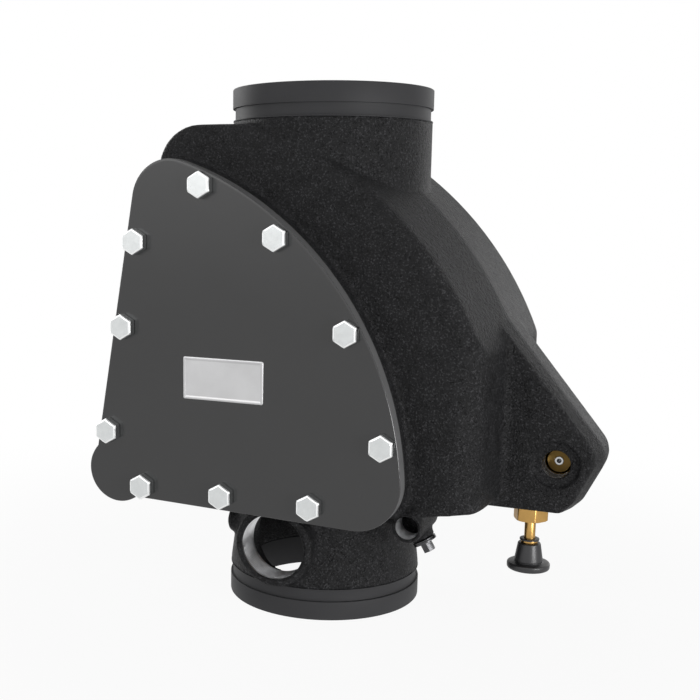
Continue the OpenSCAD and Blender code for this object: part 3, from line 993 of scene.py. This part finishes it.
@dataclass
class Casting:
    """The iron housing, its grooved pipe ends and the mouths of its ports. Sizes in millimetres."""

    body: str = "valve"
    height: float = 435.0
    pipe_r: float = 84.15
    bore_r: float = 76.0
    inlet_r: float = 67.0
    land: float = 15.9
    groove: float = 9.5
    groove_depth: float = 2.16
    neck_r: float = 83.75
    end_length: float = 26.4
    # Share of the end's length that is cut from the housing
    end_cut: float = 0.97
    skin: CastSkin = CastSkin(1.6, 22, 0.5, 0.16, 190000)
    # The upper neck is smoothed less, out to this far from its wall, from this share of the height
    neck_share: float = 0.15
    neck_reach: float = 8.0
    neck_from: float = 0.7
    # Over these lengths the smoothing grows to its full share, off a pipe end and off a port
    end_fade: float = 5.0
    port_fade: float = 2.5
    # The smoothing stays this far off a port's wall, and this far behind its floor
    port_margin: float = 1.5
    port_behind: float = 6.0
    # How far the cast bores are moved out, under the machined mouths
    bore_gap: float = 0.9
    # Each port is its place in X and Z, its bore, the radius of its mouth, its face and its depth
    drain: tuple[float, ...] = (-11.5, 62.0, 27.3, 28.7, -94.1, 24.0)
    test: tuple[float, ...] = (100.8, 92.0, 9.2, 10.4, -90.1, 20.0)
    lug: tuple[float, ...] = (203.5, 141.0, 11.0, 12.4, -30.6, 17.0)
    recess_r: float = 18.8
    # Height of a thread's wave, as a share of its pitch
    crest: float = 0.09

    def freedom(self, place: np.ndarray) -> np.ndarray:
        """How far each vertex may be smoothed: 0 at the pipe ends and port bores, 1 elsewhere.

        Args:
            place: Vertices in metres.

        Returns:
            One share a vertex.
        """
        low, height = self.end_length * MM, self.height * MM
        off_ends = np.minimum(place[:, 2] - low, height - low - place[:, 2])
        share = np.clip(off_ends / mm(self.end_fade), 0.0, 1.0)
        neck = np.hypot(place[:, 0], place[:, 1]) < (self.neck_r + self.neck_reach) * MM
        neck &= place[:, 2] > self.neck_from * height
        share = np.where(neck, self.neck_share * share, share)
        for x, z, bore, _, face, depth in (self.drain, self.test, self.lug):
            away = np.hypot(place[:, 0] - x * MM, place[:, 2] - z * MM)
            near = place[:, 1] < (face + depth + self.port_behind) * MM
            kept = self.recess_r if x == self.lug[0] else bore
            held = np.clip((away - (kept + self.port_margin) * MM) / mm(self.port_fade), 0.0, 1.0)
            share = np.where(near, share * held, share)
        return share[:, None]

    def widen(self, place: np.ndarray) -> np.ndarray:
        """Moves the walls of the port bores outwards, under the machined mouths.

        Args:
            place: Vertices in metres.

        Returns:
            Their new places.
        """
        place = place.copy()
        for x, z, bore, _, face, depth in (self.drain, self.test, self.lug):
            axis = mm(x, z)
            spoke = place[:, [0, 2]] - axis
            away = np.linalg.norm(spoke, axis=1)
            wide = (bore + self.bore_gap) * MM
            wall = (away < wide) & (place[:, 1] < (face + depth) * MM)
            grown = axis + spoke * (np.maximum(away, wide) / np.maximum(away, 1e-9))[:, None]
            place[:, [0, 2]] = np.where(wall[:, None], grown, place[:, [0, 2]])
        return place

    def shell(self) -> None:
        """Builds the cast housing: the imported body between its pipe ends, remeshed and rounded."""
        work = tidy_copy("valve_body")
        low = self.end_cut * self.end_length
        for level, upwards in ((low, False), (self.height - low, True)):
            everything = work.verts[:] + work.edges[:] + work.faces[:]
            cut = bmesh.ops.bisect_plane(
                work, geom=everything, plane_co=(0.0, 0.0, level * MM), plane_no=(0.0, 0.0, 1.0),
                clear_outer=upwards, clear_inner=not upwards,
            )
            rim = [e for e in cut["geom_cut"] if isinstance(e, bmesh.types.BMEdge)]
            bmesh.ops.triangle_fill(work, edges=rim, use_beauty=True)
        made = solid("valve_casting", work)
        self.skin.wrap(made, self.freedom, self.widen)
        dress(made, FINISH.casting, self.body, ["valve_body"], 180.0)

    def pipe_end(self, name: str, upwards: bool) -> None:
        """Builds one turned pipe end: land, groove and the start of the neck, with its bore.

        Args:
            name: The piece's name.
            upwards: Whether the end is the outlet, at the top.
        """
        groove_r = self.pipe_r - self.groove_depth
        bore = self.bore_r if upwards else self.inlet_r
        shoulder = self.land + self.groove
        profile = rounded([
            (bore, 0.0), (self.pipe_r, 0.0), (self.pipe_r, self.land), (groove_r, self.land),
            (groove_r, shoulder), (self.neck_r, shoulder), (self.neck_r, self.end_length),
            (bore - 0.15, self.end_length), (bore - 0.15, 1.2),
        ], [0.8, 1.0, 0.35, 0.3, 0.3, 0.35, 0.2, 0.3, 0.8], 3) * MM
        if upwards:
            profile = np.stack([profile[:, 0], self.height * MM - profile[:, 1]], -1)
        shape = turned(profile, Axis.Z, (0.0, 0.0, 0.0), 256)
        shape.piece(name, FINISH.machined, self.body, ["valve_body"])

    def mouth(self, name: str, port: Sequence[float], pitch: float, chamfer: float,
              finish: Finish) -> None:
        """Builds the machined mouth of a port, with a shallow screw thread inside.

        The thread is a wave on the bore, radius + crest * cos(2 pi height / pitch - a), which
        climbs one pitch for each turn.

        Args:
            name: The piece's name.
            port: The port's place, bore, mouth, face and depth.
            pitch: The thread's pitch.
            chamfer: Size of the lead chamfer.
            finish: Its finish.
        """
        x, z, bore, rim, face, depth = port
        forward, side, other = Axis.Y.basis
        down = np.linspace(chamfer, depth, 8 * int(depth / pitch))
        angle = full_turn(144)
        fade = np.clip(np.minimum(down - chamfer, depth - down) / pitch, 0.0, 1.0)
        wave = self.crest * pitch * np.cos(TURN * down[:, None] / pitch - angle)
        inside = bore + chamfer
        lip = [(rim, depth), (rim, 0.6), (rim - 0.6, 0.0), (inside, 0.0), (inside, 0.0)]
        rings = [np.full((1, len(angle)), r) for r, _ in lip]
        radius = np.concatenate(rings + [bore + fade[:, None] * wave])
        height = np.concatenate([np.array([h for _, h in lip]), down])
        spoke = spokes(angle, side, other)
        grid = radius[..., None] * spoke[None] - height[:, None, None] * forward
        grid = grid * MM + mm(x, face, z)
        shape = Shape().add(grid, wrap_rows=True)
        made = shape.piece(name, finish, self.body, ["valve_body"], 40.0)
        edge = (bore + 0.4 * chamfer) * MM

        def on_lip(centre: np.ndarray, _: np.ndarray) -> np.ndarray:
            """Faces of the lip and its chamfer, which keep the casting's paint."""
            return np.hypot(centre[:, 0] - x * MM, centre[:, 2] - z * MM) > edge

        second_finish(made, FINISH.casting, on_lip)

    def build(self) -> None:
        """Builds the housing and everything machined on it."""
        self.shell()
        self.pipe_end("inlet_grooved_end", False)
        self.pipe_end("outlet_grooved_end", True)
        self.mouth("drain_port_mouth", self.drain, 2.2, 1.2, FINISH.bore)
        self.mouth("test_port_mouth", self.test, 1.8, 0.9, FINISH.bore)
        # The lug's mouth takes the darker bore, painted shade in the deep port
        self.mouth("latch_lug_port_mouth", self.lug, 1.8, 1.4, FINISH.lug_bore_painted_shade)


@dataclass
class Seat:
    """The brass seat ring pressed into the housing, and its seal. Sizes in millimetres."""

    body: str = "valve"
    seal: tuple[float, float, float] = (74.3, 103.0, 1.6)

    def build(self) -> None:
        """Builds the ring and its O-ring."""
        refined("seat_ring", FINISH.brass, self.body, 0.3)
        ring_seal("seat_o_ring_round", self.seal, (0.0, 0.0, 0.0), self.body, "seat_o_ring")


def ring_seal(name: str, seal: Sequence[float], origin: Sequence[float], body: str,
              node: str) -> None:
    """Builds a rubber ring of round section, a circle carried round the Z axis.

    Args:
        name: The piece's name.
        seal: Radius and height of the section's centre, and its own radius, in millimetres.
        origin: A point on the ring's axis, in millimetres.
        body: The body that it rides on.
        node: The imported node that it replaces.
    """
    section = arc(seal[:2], seal[2], 0.0, 360.0, 20)[:-1] * MM
    shape = turned(section, Axis.Z, mm(*origin), 120)
    shape.piece(name, FINISH.rubber, body, [node], 60.0)


@dataclass
class Cover:
    """The flat cover, its gasket, ten hexagon bolts and bare nameplate. Sizes in millimetres."""

    body: str = "valve"
    front: float = -110.0
    back: float = -98.0
    edge: float = 1.1
    arc_centre: tuple[float, float] = (-172.0, 115.0)
    arc_r: float = 273.0
    top_corner_r: float = 34.0
    top_corner_a: float = 71.98
    low_corner_r: float = 38.0
    low_corner_a: float = 3.17
    low: float = 95.0
    lean: float = 9.84
    left_point: tuple[float, float] = (-131.6, 346.2)
    hinge: tuple[float, float] = (-148.0, 117.0)
    lobe_r: float = 27.8
    bolt_arc_in: float = 11.0
    bolt_angles: tuple[float, ...] = (66.6, 49.9, 29.7, 9.8)
    bolt_low_x: tuple[float, ...] = (-122.7, -49.1, 28.0)
    bolt_low_z: float = 106.0
    bolt_left_z: tuple[float, ...] = (310.0, 240.0, 151.0)
    bolt_left_in: float = 10.2
    bolt_flats: float = 19.05
    bolt_head: float = 8.5
    shank_r: float = 6.2
    shank_length: float = 28.0
    plate_at: tuple[float, float] = (-49.15, 201.2)
    plate_size: tuple[float, float] = (71.1, 34.8)
    plate_t: float = 1.0
    plate_corner: float = 1.6

    def left_edge(self, z: np.ndarray) -> np.ndarray:
        """X of the straight left side at height z."""
        return self.left_point[0] - math.tan(math.radians(self.lean)) * (self.left_point[1] - z)

    def outline(self) -> np.ndarray:
        """The cover's outline, clockwise from the front: side, corner, great arc, corner, lobe.

        Returns:
            Points in X and Z.
        """
        centre, hinge = np.array(self.arc_centre), np.array(self.hinge)
        low_c = centre + (self.arc_r - self.low_corner_r) * unit(self.low_corner_a)
        top_c = centre + (self.arc_r - self.top_corner_r) * unit(self.top_corner_a)
        tilt = math.radians(self.lean)
        normal = np.array([-math.cos(tilt), math.sin(tilt)])
        reach = float(normal @ (np.array(self.left_point) - hinge))
        meets_side = 180.0 - self.lean - math.degrees(math.acos(reach / self.lobe_r))
        meets_floor = -90.0 + math.degrees(math.acos((hinge[1] - self.low) / self.lobe_r))
        return np.concatenate([
            arc(top_c, self.top_corner_r, 180.0 - self.lean, self.top_corner_a, 20),
            arc(centre, self.arc_r, self.top_corner_a - 1.0, self.low_corner_a + 1.0, 80),
            arc(low_c, self.low_corner_r, self.low_corner_a, -90.0, 26),
            arc(hinge, self.lobe_r, meets_floor, meets_side - 360.0, 40),
        ])

    def bolt_places(self) -> np.ndarray:
        """Places of the ten bolts: along the great arc, the bottom and the left side.

        Returns:
            Rows of X and Z.
        """
        centre, reach = np.array(self.arc_centre), self.arc_r - self.bolt_arc_in
        curve = [centre + reach * unit(a) for a in self.bolt_angles]
        base = [np.array([x, self.bolt_low_z]) for x in self.bolt_low_x]
        side = [np.array([self.left_edge(z) + self.bolt_left_in, z]) for z in self.bolt_left_z]
        return np.array(curve + base + side)

    def plate(self) -> None:
        """Builds the cover plate, whose front edge is rounded and whose back edge is broken."""
        turn = np.radians(np.linspace(0.0, 90.0, 6))
        front = np.stack([self.edge * (1 - np.sin(turn)), self.edge * (1 - np.cos(turn))], -1)
        thick = self.back - self.front
        section = np.concatenate([
            [[2.2 * self.edge, 0.0]], front, [[0.0, thick - 0.4], [0.4, thick], [1.4, thick]],
        ])
        made = slab(self.outline() * MM, section * MM, self.front * MM).piece(
            "front_cover", FINISH.cover, self.body, ["cover_plate"], 40.0)
        # The edge faces take the lighter paint, a painted sheen on the cover's sides
        second_finish(made, FINISH.cover_side_painted_sheen, lambda _, normal: np.abs(normal[:, 1]) < EDGE_ON)

    def bolts(self) -> None:
        """Builds ten plated bolts: hexagon head, washer face and shank, joined in one piece."""
        head = HexHead(self.bolt_flats * MM, self.bolt_head * MM, chamfer=1.06, washer=0.5 * MM,
                       corner=math.radians(30.0), edge=1.6 * MM)
        radius, end = self.shank_r, -self.shank_length
        shank = [(0.0, 0.2), (radius, 0.2), (radius, end + 0.5), (radius - 0.8, end), (0.0, end)]
        shape = Shape()
        for x, z in self.bolt_places():
            at = (x, self.front, z)
            shape.add_shape(head.shape(Axis.Y.basis, mm(*at)))
            shape.add_shape(lathe(shank, 0.3, 2, Axis.Y, at, 32))
        made = shape.piece("cover_hex_bolts", FINISH.zinc, self.body, ["cover_bolts"], 20.0)

        def on_chamfer(_: np.ndarray, normal: np.ndarray) -> np.ndarray:
            """Faces that slope between a head's front and its sides, which take a lighter zinc as a
            painted highlight.
            """
            return (normal[:, 1] > FACE_ON) & (normal[:, 1] < -EDGE_ON)

        # The chamfers take the lighter zinc, a painted highlight on each head's rim
        second_finish(made, FINISH.zinc_painted_highlight_rim, on_chamfer)

    def badge(self) -> None:
        """Builds the bare plate: a brushed sheet with rolled edges and a raised border.

        Each row is a rectangle with round corners, moved inwards by the section's first number.
        """
        section = np.array([
            (3.2, 0.32), (2.2, 0.32), (2.0, 0.12), (1.8, 0.02), (1.2, 0.0), (0.5, 0.02),
            (0.12, 0.2), (0.0, 0.5), (0.0, self.plate_t + 0.2),
        ])
        half = 0.5 * np.array(self.plate_size)
        signs = np.array([(-1, 1), (1, 1), (1, -1), (-1, -1)])
        rows = [rounded(signs * (half - inset), max(self.plate_corner - inset, 0.3), 5)
                for inset in section[:, 0]]
        flat = np.stack(rows) + np.array(self.plate_at)
        depth = self.front - self.plate_t + section[:, 1, None]
        depth = np.broadcast_to(depth, flat.shape[:2])
        grid = np.stack([flat[..., 0], depth, flat[..., 1]], -1)
        Shape().add(grid * MM, caps=True).piece(
            "bare_nameplate", FINISH.plate, self.body, ["nameplate"], 50.0)

    def build(self) -> None:
        """Builds the cover and everything fastened to it."""
        self.plate()
        carried("cover_gasket", FINISH.rubber)
        self.bolts()
        self.badge()


@dataclass
class Hinge:
    """The clapper's hinge: a long pin between two spacers, which the cover keeps in place."""

    body: str = "valve"

    def build(self) -> None:
        """Builds the pin and its spacers."""
        refine_all(
            self.body, ("hinge_pin", FINISH.steel, 0.8),
            ("front_hinge_spacer", FINISH.bronze, 0.15), ("rear_hinge_spacer", FINISH.bronze, 0.15),
        )


@dataclass
class Clapper:
    """The swinging clapper: a cast arm, a disc faced with rubber, and what holds them together.

    Sizes are in millimetres. No vertex of the arm moves within a bore's kept radius.
    """

    body: str = "clapper"
    skin: CastSkin = CastSkin(1.0, 14, 0.45, 0.30, 90000)
    hinge: tuple[float, float] = (-148.0, 117.0)
    hinge_kept: float = 10.5
    centre_kept: float = 9.5
    fade: float = 3.0
    retainer_low: float = 111.0
    bolt_flats: float = 24.0
    bolt_head: float = 7.0
    bolt_r: float = 8.0
    bolt_top: float = 147.0
    nut_low: float = 138.0
    nut_height: float = 8.0
    screw_circle: float = 46.0
    screw_count: int = 6
    screw_head_r: float = 5.5
    screw_head: float = 3.0
    socket_r: float = 2.05
    screw_r: float = 3.0
    screw_top: float = 123.0

    def arm(self) -> None:
        """Builds the cast arm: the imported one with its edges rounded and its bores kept."""
        made = solid("clapper_arm_casting", tidy_copy("clapper_arm"))
        self.skin.wrap(made, self.freedom, lambda place: place)
        dress(made, FINISH.bronze, self.body, ["clapper_arm"], 180.0)

    def freedom(self, place: np.ndarray) -> np.ndarray:
        """How far each vertex of the arm may be smoothed: not at all beside its bores.

        Args:
            place: Vertices in metres.

        Returns:
            One share a vertex.
        """
        x, z = mm(*self.hinge)
        off_hinge = np.hypot(place[:, 0] - x, place[:, 2] - z) / MM - self.hinge_kept
        off_centre = np.hypot(place[:, 0], place[:, 1]) / MM - self.centre_kept
        held = np.clip(off_hinge / self.fade, 0.0, 1.0) * np.clip(off_centre / self.fade, 0.0, 1.0)
        return held[:, None]

    def screws(self) -> None:
        """Builds six screws whose rounded heads hold a hexagon socket."""
        shape = Shape()
        low, wide, top = self.retainer_low, self.screw_head_r, self.screw_top
        face, brow = low - self.screw_head, low - 1.4
        head = [(0.0, low - 1.0), (1.9, brow), (self.socket_r, face), (wide - 1.2, face),
                (wide, brow), (wide, low), (self.screw_r, low), (self.screw_r, top), (0.0, top)]
        reach = [0.0, 0.1, 0.2, 0.8, 0.9, 0.2, 0.1, 0.3, 0.0]
        for number in range(self.screw_count):
            at = self.screw_circle * unit(30.0 + 360.0 * number / self.screw_count)
            shape.add_shape(lathe(head, reach, 3, Axis.Z, (at[0], at[1], 0.0), 36))
        shape.piece(
            "retainer_screws_socket", FINISH.steel, self.body, ["retainer_screws"], 34.0)

    def centre_bolt(self) -> None:
        """Builds the hexagon bolt through the middle of the disc and the arm."""
        head = HexHead(self.bolt_flats * MM, self.bolt_head * MM, chamfer=1.0)
        down = np.array([(0.0, 0.0, -1.0), (1.0, 0.0, 0.0), (0.0, 1.0, 0.0)])
        shape = head.shape(down, mm(0.0, 0.0, self.retainer_low))
        low, radius, top = self.retainer_low - 0.3, self.bolt_r, self.bolt_top
        shank = [(0.0, low), (radius, low), (radius, top - 1.0), (radius - 1.0, top), (0.0, top)]
        shape.add_shape(lathe(shank, 0.2, 2, Axis.Z, (0.0, 0.0, 0.0), 48))
        shape.piece("clapper_hex_bolt", FINISH.steel, self.body, ["clapper_bolt"], 28.0)

    def nut(self) -> None:
        """Builds the hexagon nut on top of the arm, chamfered at both ends."""
        nut = HexHead(self.bolt_flats * MM, self.nut_height * MM, 0.98, (self.bolt_r + 0.02) * MM,
                      both_ends=True)
        nut.shape(Axis.Z.basis, mm(0.0, 0.0, self.nut_low)).piece(
            "clapper_hex_nut", FINISH.steel, self.body, ["clapper_nut"], 28.0)

    def build(self) -> None:
        """Builds the whole clapper."""
        self.arm()
        refine_all(
            self.body, ("clapper_disc", FINISH.bronze, 0.7), ("clapper_facing", FINISH.rubber, 0.5),
            ("facing_retainer", FINISH.steel, 0.5), ("front_hinge_bush", FINISH.brass, 0.2),
            ("rear_hinge_bush", FINISH.brass, 0.2), ("clapper_washer", FINISH.steel, 0.3),
        )
        self.screws()
        self.centre_bolt()
        self.nut()


@dataclass
class Latch:
    """The latch in the lug: a lever on a hexagon hub, its drilled pin and its spring.

    Sizes are in millimetres. Heights along the axis grow towards the cover.
    """

    body: str = "latch"
    pivot: tuple[float, float, float] = (203.0, 0.0, 140.0)
    hub_flats: float = 19.05
    hub_front: float = 11.0
    hub_back: float = 4.0
    hub_r: float = 8.0
    hub_end: float = 12.5
    pin_r: float = 3.5
    # Play between the hub and the pin
    play: float = 0.06
    pin_bore_r: float = 1.75
    pin_front: float = 12.0
    pin_back: float = -27.0
    pin_depth: float = 16.0
    spring_r: float = 9.5
    spring_wire: float = 0.8
    spring_span: tuple[float, float] = (-11.8, -4.2)

    def hub(self) -> None:
        """Builds the brass hub, a hexagon in front with a round end behind, bored for the pin."""
        bore, top = self.pin_r + self.play, self.hub_back - 0.2
        thick = self.hub_front - self.hub_back
        head = HexHead(self.hub_flats * MM, thick * MM, 0.97, bore * MM)
        shape = head.shape(Axis.Y.basis, mm(*self.pivot) - mm(0.0, self.hub_back, 0.0))
        tail = [(bore, top), (self.hub_r, top), (self.hub_r, -self.hub_end), (bore, -self.hub_end)]
        shape.add_shape(lathe(tail, 0.4, 2, Axis.Y, self.pivot, 60, closed=True))
        # The hub takes the darkened brass, painted shade inside the lug port
        shape.piece("latch_hex_hub", FINISH.brass_painted_shade, self.body, ["latch_hub"], 28.0)

    def pin(self) -> None:
        """Builds the fixed pivot pin, drilled in its front end."""
        drill, front, back = self.pin_bore_r, self.pin_front, self.pin_back
        end = front - self.pin_depth
        profile = [(0.0, end), (drill, end + 0.8), (drill, front), (self.pin_r, front),
                   (self.pin_r, back), (0.0, back)]
        shape = lathe(profile, [0.0, 0.1, 0.35, 0.4, 0.5, 0.0], 3, Axis.Y, self.pivot, 48)
        shape.piece("latch_pin_drilled", FINISH.steel, "valve", ["latch_pivot_pin"], 34.0)

    def spring(self) -> None:
        """Builds the torsion spring on the hub."""
        low, high = self.spring_span
        shape = coil(self.spring_r * MM, self.spring_wire * MM, 4.0, low * MM, high * MM, Axis.Y,
                     mm(*self.pivot))
        shape.piece("latch_torsion_spring", FINISH.wire, self.body, ["latch_spring"], 60.0)

    def build(self) -> None:
        """Builds the latch."""
        # The lever takes the same darkened brass, painted shade inside the lug
        refined("latch_lever", FINISH.brass_painted_shade, self.body, 0.7)
        self.hub()
        self.pin()
        self.spring()


@dataclass
class Reset:
    """The push rod under the lug: brass bushing, rod, spring, black knob and seals.

    Sizes are in millimetres.
    """

    axis_at: tuple[float, float, float] = (181.0, 0.0, 0.0)
    bushing_low: float = 86.0
    bushing_flats: float = 25.0
    bushing_corner: float = 6.0
    bushing_r: float = 10.5
    bushing_top: float = 118.0
    lug_low: float = 102.0
    rod_r: float = 4.5
    # Play between the bushing and the rod
    play: float = 0.06
    bore_r: float = 8.0
    hex_top: float = 96.0
    floor: float = 98.0
    knob_low: float = 43.8
    knob_top: float = 66.0
    knob_r: float = 17.5
    # How far the knob reaches down around the rod
    grip: float = 14.0
    bushing_seal: tuple[float, float, float] = (11.5, 103.2, 1.2)
    plunger_seal: tuple[float, float, float] = (3.85, 88.8, 0.64)
    spring_r: float = 6.9
    spring_wire: float = 0.65
    spring_span: tuple[float, float] = (100.0, 116.5)
    travel: float = 7.0

    def bushing(self) -> None:
        """Builds the bushing: a hexagon with a corner to the front right, and a bored shank."""
        hole, low, top = self.rod_r + self.play, self.hex_top, self.bushing_top
        thick = self.lug_low - self.bushing_low
        head = HexHead(self.bushing_flats * MM, thick * MM, 1.05, hole * MM,
                       corner=math.radians(self.bushing_corner), both_ends=True)
        shape = head.shape(Axis.Z.basis, mm(*self.axis_at) + mm(0.0, 0.0, self.bushing_low))
        shank = [(hole, low), (self.bushing_r, low), (self.bushing_r, top),
                 (self.bore_r, top), (self.bore_r, self.floor), (hole, self.floor)]
        reach = [0.1, 0.1, 0.8, 0.3, 0.2, 0.1]
        shape.add_shape(lathe(shank, reach, 3, Axis.Z, self.axis_at, 72, closed=True))
        shape.piece("reset_hex_bushing", FINISH.brass, "valve", ["reset_bushing"], 28.0)

    def knob(self) -> None:
        """Builds the moulded knob: a wide foot under a cone, hollow for the rod."""
        low, top, foot = self.knob_low, self.knob_top, self.knob_r
        hole = top - self.grip
        profile = [
            (0.0, low + 0.6), (foot - 5.0, low + 0.6), (foot - 4.4, low), (foot, low),
            (foot, low + 5.4), (11.4, low + 6.0), (11.7, low + 7.2), (9.2, top), (self.rod_r, top),
            (self.rod_r, hole), (0.0, hole),
        ]
        reach = [0.0, 0.5, 0.4, 2.2, 1.4, 0.8, 1.0, 1.0, 0.2, 0.2, 0.0]
        shape = lathe(profile, reach, 4, Axis.Z, self.axis_at, 96)
        shape.piece("reset_push_knob", FINISH.plastic, "reset", ["reset_knob"], 34.0)

    def spring(self) -> None:
        """Builds the return spring and gives it a mesh of its own."""
        low, high = self.spring_span
        shape = coil(self.spring_r * MM, self.spring_wire * MM, 6.0, low * MM, high * MM, Axis.Z,
                     mm(*self.axis_at))
        made = shape.piece("reset_return_spring", FINISH.wire, "valve", ["reset_spring"], 60.0)
        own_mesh(made)

    def build(self) -> None:
        """Builds everything on the rod's axis."""
        self.bushing()
        ring_seal("bushing_seal_round", self.bushing_seal, self.axis_at, "valve", "bushing_o_ring")
        refined("bushing_retaining_ring", FINISH.dark_steel, "valve", 0.2)
        refined("reset_plunger", FINISH.brass, "reset", 0.3)
        ring_seal("plunger_seal_round", self.plunger_seal, self.axis_at, "reset", "plunger_o_ring")
        self.spring()
        self.knob()
        refine_all("reset", ("knob_nut", FINISH.brass, 0.3), ("knob_washer", FINISH.plastic, 0.2))


@dataclass
class TestPlug:
    """The leaning hexagon plug by the test port."""

    body: str = "valve"

    def build(self) -> None:
        """Builds the plug and its washer."""
        refined("test_plug", FINISH.dark_steel, self.body, 0.35, 28.0)
        refined("test_plug_washer", FINISH.dark_steel, self.body, 0.15)


@dataclass
class Studio:
    """The camera, the pale floor, the backdrop and the lamps. Sizes in metres and degrees."""

    azimuth: float = 23.77
    elevation: float = 9.70
    roll: float = 0.50
    place: tuple[float, float, float] = (0.3244, -0.8840, 0.3404)
    # Focal length and the optical axis, in pixels of the photograph
    focal: float = 1083.0
    axis_at: tuple[float, float] = (260.0, 390.0)
    sensor: float = 36.0
    floor_size: float = 12.0
    floor_z: float = -0.0004
    floor_colour: tuple[float, ...] = (0.86, 0.86, 0.86, 1.0)
    # Strength of the surround as a soft light and as seen in mirrors, how much it dims overhead,
    # and how much of it mirrors lose behind the object
    world_level: float = 0.42
    mirror_level: float = 1.2
    overhead_dim: float = 0.6
    rear_loss: float = 0.35
    # How much dimmer the floor behind the object looks in mirrors
    rear_dim: float = 0.75
    # How bright the floor in front looks in mirrors, and its share of glow as a soft light
    front_floor: float = 0.85
    floor_bounce: float = 0.8
    # Distances over which the floor fades to white, and its least glow
    floor_fade: tuple[float, float] = (0.22, 0.75)
    floor_glow: float = 0.93
    # The point that every lamp faces
    aim: tuple[float, float, float] = (0.0, 0.0, 0.22)
    # Each lamp is its name, its place, its width and height, and its power in watts
    lamps: tuple[tuple[Any, ...], ...] = (
        ("rear_right_softbox", (0.65, 1.50, 0.45), (0.8, 0.8), 2.2),
        ("front_right_softbox", (1.3, -0.75, 0.12), (0.6, 0.6), 16.0),
        ("front_left_softbox", (-0.9, -1.5, 1.1), (1.2, 1.2), 5.0),
        ("left_strip", (-1.2, 0.4, 0.5), (0.3, 1.2), 6.0),
    )

    def camera(self) -> None:
        """Sets the camera where the photograph was taken from."""
        turn, rise, roll = (math.radians(v) for v in (self.azimuth, self.elevation, self.roll))
        level = math.cos(rise)
        back = Vector((math.sin(turn) * level, -math.cos(turn) * level, math.sin(rise)))
        right = Vector((math.cos(turn), math.sin(turn), 0.0))
        up = back.cross(right)
        side = math.cos(roll) * right + math.sin(roll) * up
        top = -math.sin(roll) * right + math.cos(roll) * up
        data = bpy.data.cameras.new("photo_camera")
        data.sensor_fit = "HORIZONTAL"
        data.sensor_width = self.sensor
        data.lens = self.focal / IMAGE_SIZE * self.sensor
        data.shift_x = 0.5 - self.axis_at[0] / IMAGE_SIZE
        data.shift_y = self.axis_at[1] / IMAGE_SIZE - 0.5
        data.clip_start = 0.02
        data.clip_end = 50.0
        made = linked(bpy.data.objects.new("photo_camera", data))
        rotation = Matrix((side, top, back)).transposed().to_4x4()
        made.matrix_world = Matrix.Translation(self.place) @ rotation
        bpy.context.scene.camera = made

    def ray(self, tree: Tree, kind: str) -> Sock:
        """1 for rays of one kind, else 0."""
        return tree.node("ShaderNodeLightPath", output=f"Is {kind} Ray")

    def part(self, tree: Tree, where: Sock, axis: str) -> Sock:
        """One part of a vector."""
        return tree.node("ShaderNodeSeparateXYZ", inputs={0: where}, output=axis)

    def world(self) -> None:
        """A surround that looks white, lights the object from all sides and is dimmer overhead."""
        world = bpy.data.worlds.new("studio")
        world.use_nodes = True
        bpy.context.scene.world = world
        tree = Tree("studio", world.node_tree)
        way = tree.node("ShaderNodeTexCoord", output="Generated")
        up = self.part(tree, way, "Z").rise(0.0, 0.8)
        rear = self.part(tree, way, "Y").rise(-0.2, 0.8)
        soft = (1.0 - up * self.overhead_dim) * self.world_level
        mirror = (1.0 - rear * self.rear_loss) * self.mirror_level
        camera, glossy = self.ray(tree, "Camera"), self.ray(tree, "Glossy")
        level = camera + (1.0 - camera) * (glossy * mirror + (1.0 - glossy) * soft)
        light = tree.node("ShaderNodeBackground", inputs={"Color": WHITE, "Strength": level})
        output = tree.tree.nodes.new("ShaderNodeOutputWorld")
        tree.join(light, output.inputs["Surface"])

    def floor(self) -> None:
        """A pale floor with a soft shadow that fades to white. Mirrors see its rear part dim."""
        half = 0.5 * self.floor_size
        square = ((-1, -1), (1, -1), (1, 1), (-1, 1))
        corners = [(x * half, y * half, self.floor_z) for x, y in square]
        mesh = bpy.data.meshes.new("studio_floor")
        mesh.from_pydata(corners, [], [(0, 1, 2, 3)])
        made = linked(bpy.data.objects.new("studio_floor", mesh))
        tree = Tree("pale_floor")
        matte = tree.node("ShaderNodeBsdfDiffuse", inputs={"Color": self.floor_colour})
        glow = tree.node("ShaderNodeEmission", inputs={"Color": WHITE, "Strength": 1.0})
        where = tree.node("ShaderNodeTexCoord", output="Object")
        away = tree.node("ShaderNodeVectorMath", {"operation": "LENGTH"}, {0: where}, "Value")
        share = away.rise(*self.floor_fade) * (1.0 - self.floor_glow) + self.floor_glow
        rear = self.part(tree, where, "Y").rise(-0.1, 0.5)
        mirror = share * (1.0 - rear * self.rear_dim) * self.front_floor
        seen = self.ray(tree, "Camera") * share + self.ray(tree, "Glossy") * mirror
        seen = seen + self.ray(tree, "Diffuse") * self.floor_bounce
        tree.surface(tree.node("ShaderNodeMixShader", inputs={0: seen, 1: matte, 2: glow}))
        mesh.materials.append(tree.material)

    def lamp(self, name: str, place: Sequence[float], size: Sequence[float], watts: float) -> None:
        """A soft rectangular lamp that faces the middle of the valve.

        Args:
            name: Its name.
            place: Where it stands.
            size: Its width and height.
            watts: Its power.
        """
        data = bpy.data.lights.new(name, "AREA")
        data.shape = "RECTANGLE"
        data.size, data.size_y = size
        data.energy = watts
        made = linked(bpy.data.objects.new(name, data))
        way = Vector(self.aim) - Vector(place)
        rotation = way.to_track_quat("-Z", "Y").to_matrix().to_4x4()
        made.matrix_world = Matrix.Translation(place) @ rotation

    def build(self) -> None:
        """Builds the studio."""
        self.camera()
        self.world()
        self.floor()
        for row in self.lamps:
            self.lamp(*row)
        bpy.context.scene.view_settings.view_transform = "Standard"


def main() -> None:
    """Builds the studio and the valve, sub-assembly by sub-assembly."""
    logging.basicConfig(level=logging.INFO, format="%(name)s: %(message)s")
    Studio().build()
    for part in (Casting(), Seat(), Cover(), Hinge(), Clapper(), Latch(), Reset(), TestPlug()):
        LOG.info("building %s", type(part).__name__)
        part.build()


if __name__ == "__main__":
    main()
